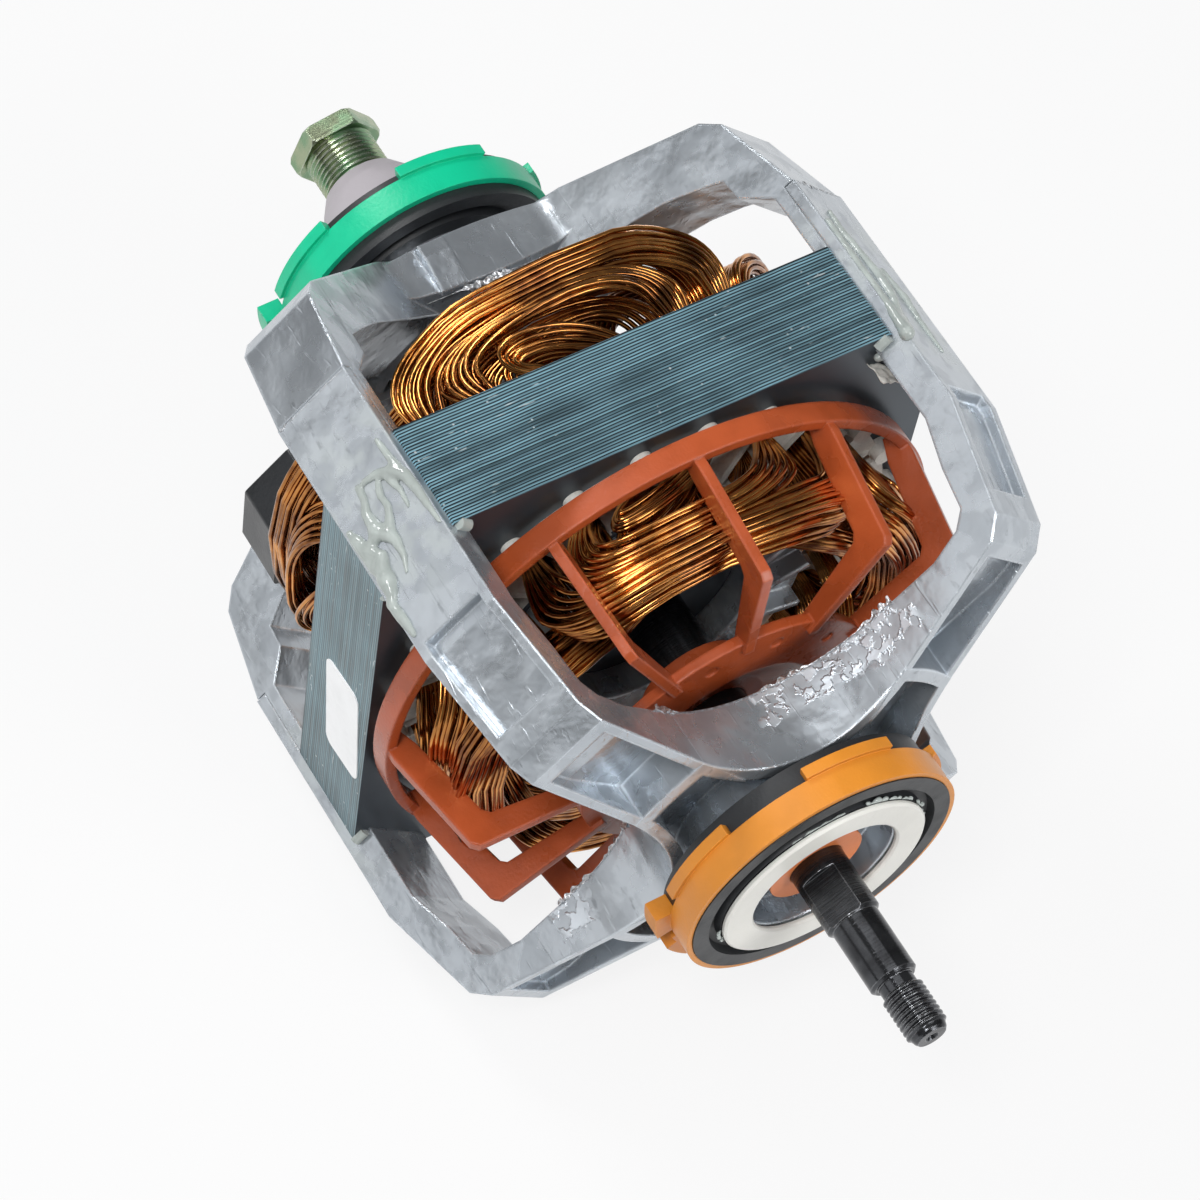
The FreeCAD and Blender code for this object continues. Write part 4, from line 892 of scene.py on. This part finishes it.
@dataclass
class Bonding:
    """Resin that was run over the upper arms and into the corners of the stack."""

    wardrobe: Wardrobe
    left_drips: tuple[tuple[tuple[float, float, float], ...], ...] = (
        ((-12.1, 7.5, 0.7), (-9.1, 7.7, 0.9), (-6.5, 7.9, 1.0), (-3.9, 8.4, 1.1)),
        ((-7.1, 0.2, 0.8), (-6.5, 3.4, 1.0), (-4.2, 7.2, 1.5), (-1.9, 8.6, 1.5), (2.3, 9.1, 1.2), (6.5, 9.2, 0.9),
         (11.4, 9.4, 0.6)),
        ((-7.1, -1.7, 0.9), (-4.1, -2.0, 0.9), (-1.5, -3.3, 1.2), (3.4, -3.3, 1.9), (5.7, -1.3, 1.7),
         (7.6, -0.9, 1.3), (11.5, -1.3, 0.8), (14.5, -2.8, 0.5)),
        ((-4.5, 2.5, 0.9), (-2.2, 1.5, 0.9), (0.8, 1.7, 0.9), (4.4, -0.3, 1.2), (5.4, -2.2, 1.4)),
        ((0.9, -8.1, 1.1), (5.1, -7.5, 1.5), (8.0, -5.4, 1.6), (10.3, -7.1, 2.1), (13.3, -7.4, 2.2),
         (15.9, -8.1, 1.5), (17.5, -9.4, 1.3), (21.4, -9.1, 1.3), (25.8, -8.9, 0.8)),
        ((-0.8, -8.8, 1.0), (3.8, -8.6, 1.3), (6.8, -8.2, 1.4), (9.0, -8.0, 1.6)),
        ((-4.0, 5.0, 1.0), (0.0, 6.0, 0.8), (4.0, 5.5, 0.5)),
        ((3.4, -3.3, 1.6), (4.5, -6.0, 1.3), (5.1, -7.5, 1.5)),
    )
    right_runs: tuple[tuple[tuple[float, float, float], ...], ...] = (
        ((-22.0, 3.5, 0.7), (-15.0, 5.0, 1.0), (-9.0, 3.0, 0.9), (-3.0, 2.5, 1.3), (2.0, 3.2, 1.3), (6.0, 4.8, 1.0),
         (10.0, 7.6, 1.2), (14.3, 10.0, 1.7), (14.8, 10.4, 1.9)),
        ((-18.0, 8.6, 0.8), (-8.0, 9.2, 1.0), (0.0, 9.0, 0.9), (8.0, 9.4, 1.1), (13.6, 10.2, 1.4)),
        ((-6.0, -2.0, 0.7), (2.0, -3.5, 1.0), (9.0, -2.5, 0.8), (17.0, -3.0, 0.6)),
    )
    corner_lumps: tuple[tuple[float, float, float, float], ...] = (
        (14.0, 51.4, 63.0, 1.5), (14.2, 52.6, 61.6, 1.7), (14.0, 53.4, 60.0, 1.4), (13.8, 49.6, 62.4, 1.1),
    )
    bead_step: float = 0.35
    bead_lift: float = 0.1
    lumpiness: float = 0.18
    lump_rate: float = 700.0

    def run(self, face: ArmFace, stops: Sequence[tuple[float, float, float]]) -> list[tuple[Vector, float]]:
        """Balls along one drip.

        Args:
            face: the arm it lies on.
            stops: places along and across the arm with the drip's radius there.

        Returns:
            Centres in metres and radii in millimetres.
        """
        balls = []
        for (x, across, radius), (next_x, next_across, next_radius) in zip(stops, stops[1:]):
            length = math.hypot(next_x - x, next_across - across)
            count = max(2, int(length / (self.bead_step * min(radius, next_radius))))
            for i in range(count + 1):
                share = i / count
                size = radius + (next_radius - radius) * share
                place = face.point(
                    x + (next_x - x) * share, across + (next_across - across) * share, size * self.bead_lift)
                balls.append((place, size * (1 + self.lumpiness * noise.noise(place * self.lump_rate))))
        return balls

    def build(self) -> None:
        """Lays the resin."""
        left = [ball for stops in self.left_drips for ball in self.run(ArmFace(-1), stops)]
        right = [ball for stops in self.right_runs for ball in self.run(ArmFace(1), stops)]
        piece = skin_over("arm_resin", left + right)
        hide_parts("top_arm_bonds")
        self.wardrobe.dress_piece(piece, Finishes.RESIN, "frame")
        lumps = [
            (Vector((STACK_MIDDLE + x * MM, y * MM, z * MM)), radius) for x, y, z, radius in self.corner_lumps]
        self.wardrobe.dress_piece(skin_over("corner_resin", lumps), Finishes.RESIN, "frame")
        self.wardrobe.dress_nodes(Finishes.RESIN, ["edge_bonds"])


Rail = Callable[[float], tuple[Vector, Vector, Vector]]


@dataclass
class TornEdges:
    """Ragged slivers left along the windows and on the lips of the arms."""

    wardrobe: Wardrobe
    front_sweep: float = 52.0
    front_edge: float = 57.3
    rear_edge: float = -56.9
    rear_floor: float = 34.0
    rear_half_width: float = 17.0
    lip_edge: float = -29.6
    lip_half_width: float = 9.8
    arm_radius: float = 87.5
    tear_rate: float = 0.21
    patch_rate: float = 0.045
    rough_rate: float = 0.4
    rough_height: float = 0.35
    least_width: float = 0.12

    def ribbon(self, shape: bmesh.types.BMesh, rail: Rail, steps: int, width: float, seed: float) -> None:
        """One torn strip.

        Args:
            shape: the mesh that gets it.
            rail: gives the place, the strip's way and its lift for a share of the length.
            steps: divisions along it.
            width: its greatest width in millimetres.
            seed: moves its pattern.
        """
        made = bmesh.ops.create_grid(shape, x_segments=steps, y_segments=3, size=0.5)["verts"]
        for vert in made:
            along, out = vert.co.x + 0.5, vert.co.y + 0.5
            place, way, lift = rail(along)
            tear = abs(noise.noise(Vector((along * steps * self.tear_rate, seed, out * 0.6)))) * 2.2
            patch = max(0.0, noise.noise(Vector((along * steps * self.patch_rate, seed + 9, 0))) * 3 + 0.25)
            reach = width * min(1.0, tear) * min(1.0, patch) + self.least_width
            rough = noise.noise(Vector((along * steps * self.rough_rate, out * 3, seed))) * self.rough_height
            rise = self.least_width + rough * min(1.0, patch)
            vert.co = place + (way * ((out - 0.35) * reach) + lift * rise) * MM

    def front_rail(self, quarter: int) -> Rail:
        """Rail along the inside edge of one front window."""
        turn = Matrix.Rotation(math.radians(90 * quarter), 3, "X")

        def rail(share: float) -> tuple[Vector, Vector, Vector]:
            """Place, way and lift at a share of the arc."""
            angle = math.radians(self.front_sweep * (2 * share - 1))
            across = WINDOW_RADIUS * math.sin(angle)
            up = WINDOW_CENTRE - WINDOW_RADIUS * math.cos(angle)
            place = turn @ Vector((0, across * MM, up * MM)) + Vector((STACK_MIDDLE + self.front_edge * MM, 0, 0))
            inward = turn @ Vector((0, -math.sin(angle), math.cos(angle)))
            return place, Vector((-1, 0, 0)), inward

        return rail

    def rear_rail(self, quarter: int) -> Rail:
        """Rail along the bottom edge of one rear window."""
        turn = Matrix.Rotation(math.radians(90 * quarter), 3, "X")

        def rail(share: float) -> tuple[Vector, Vector, Vector]:
            """Place, way and lift at a share of the edge."""
            across = self.rear_half_width * (2 * share - 1)
            place = turn @ Vector((0, across * MM, self.rear_floor * MM))
            place += Vector((STACK_MIDDLE + self.rear_edge * MM, 0, 0))
            return place, Vector((1, 0, 0)), turn @ Vector((0, 0, 1))

        return rail

    def lip_rail(self, quarter: int) -> Rail:
        """Rail across the end of one arm."""
        turn = Matrix.Rotation(math.radians(45 + 90 * quarter), 3, "X")

        def rail(share: float) -> tuple[Vector, Vector, Vector]:
            """Place, way and lift at a share of the lip."""
            across = self.lip_half_width * (2 * share - 1)
            place = turn @ Vector((0, across * MM, self.arm_radius * MM))
            place += Vector((STACK_MIDDLE + self.lip_edge * MM, 0, 0))
            return place, Vector((-1, 0, 0)), turn @ Vector((0, 0, 1))

        return rail

    def build(self) -> None:
        """Tears every edge."""
        shape = bmesh.new()
        for quarter in range(4):
            self.ribbon(shape, self.front_rail(quarter), steps=150, width=2.2, seed=3.1 + quarter)
            self.ribbon(shape, self.rear_rail(quarter), steps=70, width=2.6, seed=7.7 + quarter)
            self.ribbon(shape, self.lip_rail(quarter), steps=50, width=1.3, seed=12.3 + quarter)
        bmesh.ops.recalc_face_normals(shape, faces=shape.faces)
        bmesh.ops.solidify(shape, geom=shape.faces[:], thickness=SHEET_THICKNESS * MM)
        piece = piece_from("torn_edges", shape, smooth=False)
        self.wardrobe.dress_piece(piece, Finishes.TORN, "frame")


@dataclass
class PaperTab:
    """Crumpled end of a slot sheet that stands out at the right corner of the stack."""

    wardrobe: Wardrobe
    foot: tuple[float, float, float] = (12.8, 50.4, 58.4)
    length: float = 4.6
    width: float = 5.2
    sideways: float = 1.8
    droop: float = 2.2
    slant: float = 3.6
    crumple: float = 1.3

    def build(self) -> None:
        """Folds the tab."""
        shape = bmesh.new()
        bmesh.ops.create_grid(shape, x_segments=10, y_segments=8, size=0.5)
        for vert in shape.verts:
            along, wide = vert.co.x + 0.5, vert.co.y
            fold = noise.noise(Vector((along * 3.1, wide * 3.7, 4.2))) * self.crumple
            x = self.foot[0] + along * self.length
            y = self.foot[1] + wide * self.width + along * self.sideways
            z = self.foot[2] - along * self.droop - wide * self.slant + fold
            vert.co = Vector((STACK_MIDDLE + x * MM, y * MM, z * MM))
        bmesh.ops.solidify(shape, geom=shape.faces[:], thickness=SHEET_THICKNESS * MM)
        self.wardrobe.dress_piece(piece_from("paper_tab", shape), Finishes.PAPER, "frame")


@dataclass
class EndFrames:
    """The two castings with their bearings."""

    wardrobe: Wardrobe

    def build(self) -> None:
        """Dresses the castings and what sits in them."""
        self.wardrobe.dress_nodes(Finishes.CASTING, ["front_end_frame", "rear_end_frame"])
        self.wardrobe.dress_nodes(Finishes.BRONZE, ["front_bearing", "rear_bearing"])
        self.wardrobe.dress_nodes(Finishes.FELT, ["front_oil_felt", "rear_oil_felt"])
        self.wardrobe.dress_nodes(
            Finishes.PRESSED,
            ["front_felt_cap", "rear_felt_cap", "front_thrust_washer", "rear_thrust_washer"])


@dataclass
class CradleRings:
    """The two resilient rings that the cradle clamps."""

    wardrobe: Wardrobe
    glue_x: float = 88.35
    glue_step: float = 0.7
    glue_runs: tuple[tuple[float, float, float, float], ...] = (
        (14.0, 34.0, 25.4, 0.55), (40.0, 76.0, 25.3, 0.4), (88.0, 118.0, 25.2, 0.3), (190.0, 204.0, 25.3, 0.4))

    def build(self) -> None:
        """Dresses covers, rubber and sleeves."""
        self.wardrobe.dress_nodes(Finishes.ORANGE, ["front_ring_cover"])
        self.wardrobe.dress_nodes(Finishes.GREEN, ["rear_ring_cover"])
        self.wardrobe.dress_nodes(Finishes.RUBBER, ["front_rubber_ring", "rear_rubber_ring"])
        self.wardrobe.dress_nodes(Finishes.FLANGE, ["front_ring_sleeve"])
        self.wardrobe.dress_nodes(Finishes.SLEEVE, ["rear_ring_sleeve"])
        glue = []
        for first, last, radius, size in self.glue_runs:
            count = int((last - first) / self.glue_step)
            for i in range(count):
                angle = first + self.glue_step * i
                loose = noise.noise(Vector((angle * 0.3, radius, 0)))
                glue.append((on_axis(self.glue_x, radius + loose, angle), size * (0.9 + loose)))
        self.wardrobe.dress_piece(skin_over("flange_glue", glue, 0.25), Finishes.RESIN, "frame")


@dataclass
class Rotor:
    """Shaft, rotor, fan, pulley, slinger and governor."""

    wardrobe: Wardrobe

    def build(self) -> None:
        """Dresses everything that turns."""
        self.wardrobe.dress_nodes(Finishes.SHAFT, ["shaft"])
        self.wardrobe.dress_nodes(Finishes.FAN, ["cooling_fan"])
        self.wardrobe.dress_nodes(Finishes.SHEETS, ["rotor_core"])
        self.wardrobe.dress_nodes(Finishes.CASTING, ["rotor_cage"])
        self.wardrobe.dress_nodes(Finishes.ZINC, ["belt_pulley"])
        self.wardrobe.dress_nodes(Finishes.SLINGER, ["shaft_slinger"])
        self.wardrobe.dress_nodes(
            Finishes.PRESSED, ["governor_base", "governor_pins", "governor_weight_a", "governor_weight_b"])
        self.wardrobe.dress_nodes(Finishes.BLACK, ["governor_spool"])


@dataclass
class StartSwitch:
    """The start switch on the rear casting."""

    wardrobe: Wardrobe

    def build(self) -> None:
        """Dresses the switch and its wires."""
        self.wardrobe.dress_nodes(
            Finishes.BLACK, ["switch_housing", "switch_cover", "switch_lever", "thermal_protector"])
        self.wardrobe.dress_nodes(Finishes.BRASS, ["switch_terminals"])
        self.wardrobe.dress_nodes(Finishes.PRESSED, ["switch_bracket", "bracket_screw", "lever_pivot"])
        self.wardrobe.dress_nodes(Finishes.LEADS, ["winding_leads"])


@dataclass
class Studio:
    """Pale floor, soft light and the camera of the photograph."""

    floor_level: float = -0.0694
    floor_reach: float = 4.0
    camera_place: tuple[float, float, float] = (0.3084, -0.3305, 0.7849)
    camera_right: tuple[float, float, float] = (0.505243, 0.856406, 0.106294)
    camera_down: tuple[float, float, float] = (0.759099, -0.382453, -0.526782)
    camera_ahead: tuple[float, float, float] = (-0.410486, 0.346841, -0.843328)
    focal_length: float = 128.207
    sensor_width: float = 36.0
    near_and_far: tuple[float, float] = (0.01, 50.0)
    floor_colour: Colour = (0.86, 0.86, 0.86)
    floor_glow: Colour = (0.962, 0.962, 0.964)
    glow_share: float = 0.88
    world_strength: float = 0.17
    lamps: dict[str, tuple[tuple[float, float, float], float, float]] = field(default_factory=lambda: {
        "overhead": ((-0.1, -0.1, 1.3), 0.9, 3.2),
        "left_side": ((-0.35, -0.95, 0.5), 0.7, 1.4),
        "front_side": ((0.75, 0.35, 0.6), 0.5, 5.0),
        "key": ((0.2, -0.5, 1.0), 0.3, 6.0),
        "back_key": ((-0.85, -0.25, 0.75), 0.3, 4.5),
    })

    def floor(self) -> bpy.types.Object:
        """The floor, white to the camera and with the object's soft shadow."""
        shape = bmesh.new()
        bmesh.ops.create_grid(shape, x_segments=1, y_segments=1, size=self.floor_reach)
        bmesh.ops.translate(shape, verts=shape.verts, vec=(0, 0, self.floor_level))
        piece = piece_from("floor", shape, smooth=False)
        shade = Shader("floor_white")
        path = shade.add("ShaderNodeLightPath")
        seen = Term(shade, path.outputs["Is Camera Ray"]).most(Term(shade, path.outputs["Is Glossy Ray"]))
        seen = seen.most(Term(shade, path.outputs["Is Transmission Ray"]))
        dull = shade.add("ShaderNodeBsdfDiffuse", {}, {"Color": self.floor_colour})
        glow = shade.add("ShaderNodeEmission", {}, {"Color": self.floor_glow, "Strength": 1.0})
        share = seen * self.glow_share
        both = shade.add("ShaderNodeMixShader", {}, {0: share, 1: dull.outputs[0], 2: glow.outputs[0]})
        shade.add("ShaderNodeOutputMaterial", {}, {"Surface": both.outputs[0]})
        piece.data.materials.append(shade.material)
        return piece

    def lamp(self, name: str, place: Sequence[float], size: float, watts: float) -> None:
        """One soft square lamp that faces the motor.

        Args:
            name: its name.
            place: where it stands, in metres.
            size: length of its side.
            watts: its power.
        """
        data = bpy.data.lights.new(name, "AREA")
        data.shape = "SQUARE"
        data.size = size
        data.energy = watts
        lamp = bpy.data.objects.new(name, data)
        lamp.location = place
        lamp.rotation_euler = (Vector((STACK_MIDDLE, 0, 0)) - Vector(place)).to_track_quat("-Z", "Y").to_euler()
        bpy.context.scene.collection.objects.link(lamp)

    def world(self) -> None:
        """Even light from all round, seen as white."""
        world = bpy.data.worlds.new("studio")
        world.use_nodes = True
        background = world.node_tree.nodes["Background"]
        background.inputs["Color"].default_value = (1.0, 1.0, 1.0, 1.0)
        background.inputs["Strength"].default_value = self.world_strength
        bpy.context.scene.world = world

    def camera(self) -> None:
        """The camera at the photograph's place."""
        data = bpy.data.cameras.new("camera")
        data.lens = self.focal_length
        data.sensor_width = self.sensor_width
        data.clip_start, data.clip_end = self.near_and_far
        camera = bpy.data.objects.new("camera", data)
        rows = (Vector(self.camera_right), -Vector(self.camera_down), -Vector(self.camera_ahead))
        turn = Matrix(rows).transposed().to_4x4()
        camera.matrix_world = Matrix.Translation(self.camera_place) @ turn
        bpy.context.scene.collection.objects.link(camera)
        bpy.context.scene.camera = camera

    def build(self) -> None:
        """Sets up floor, lamps, world and camera."""
        self.floor()
        for name, (place, size, watts) in self.lamps.items():
            self.lamp(name, place, size, watts)
        self.world()
        self.camera()
        bpy.context.scene.view_settings.view_transform = "Standard"


def write_sizes() -> None:
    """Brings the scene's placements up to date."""
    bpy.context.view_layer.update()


def main() -> None:
    """Builds the motor's looks, sub-assembly by sub-assembly."""
    logging.basicConfig(level=logging.INFO, format="%(message)s")
    noise.seed_set(NOISE_SEED)
    Studio().build()
    wardrobe = Wardrobe()
    for assembly in (Stator, Bonding, PaperTab, EndFrames, TornEdges, CradleRings, Rotor, StartSwitch):
        assembly(wardrobe).build()
        LOG.info("%s is ready", assembly.__name__)
    write_sizes()


if __name__ == "__main__":
    main()
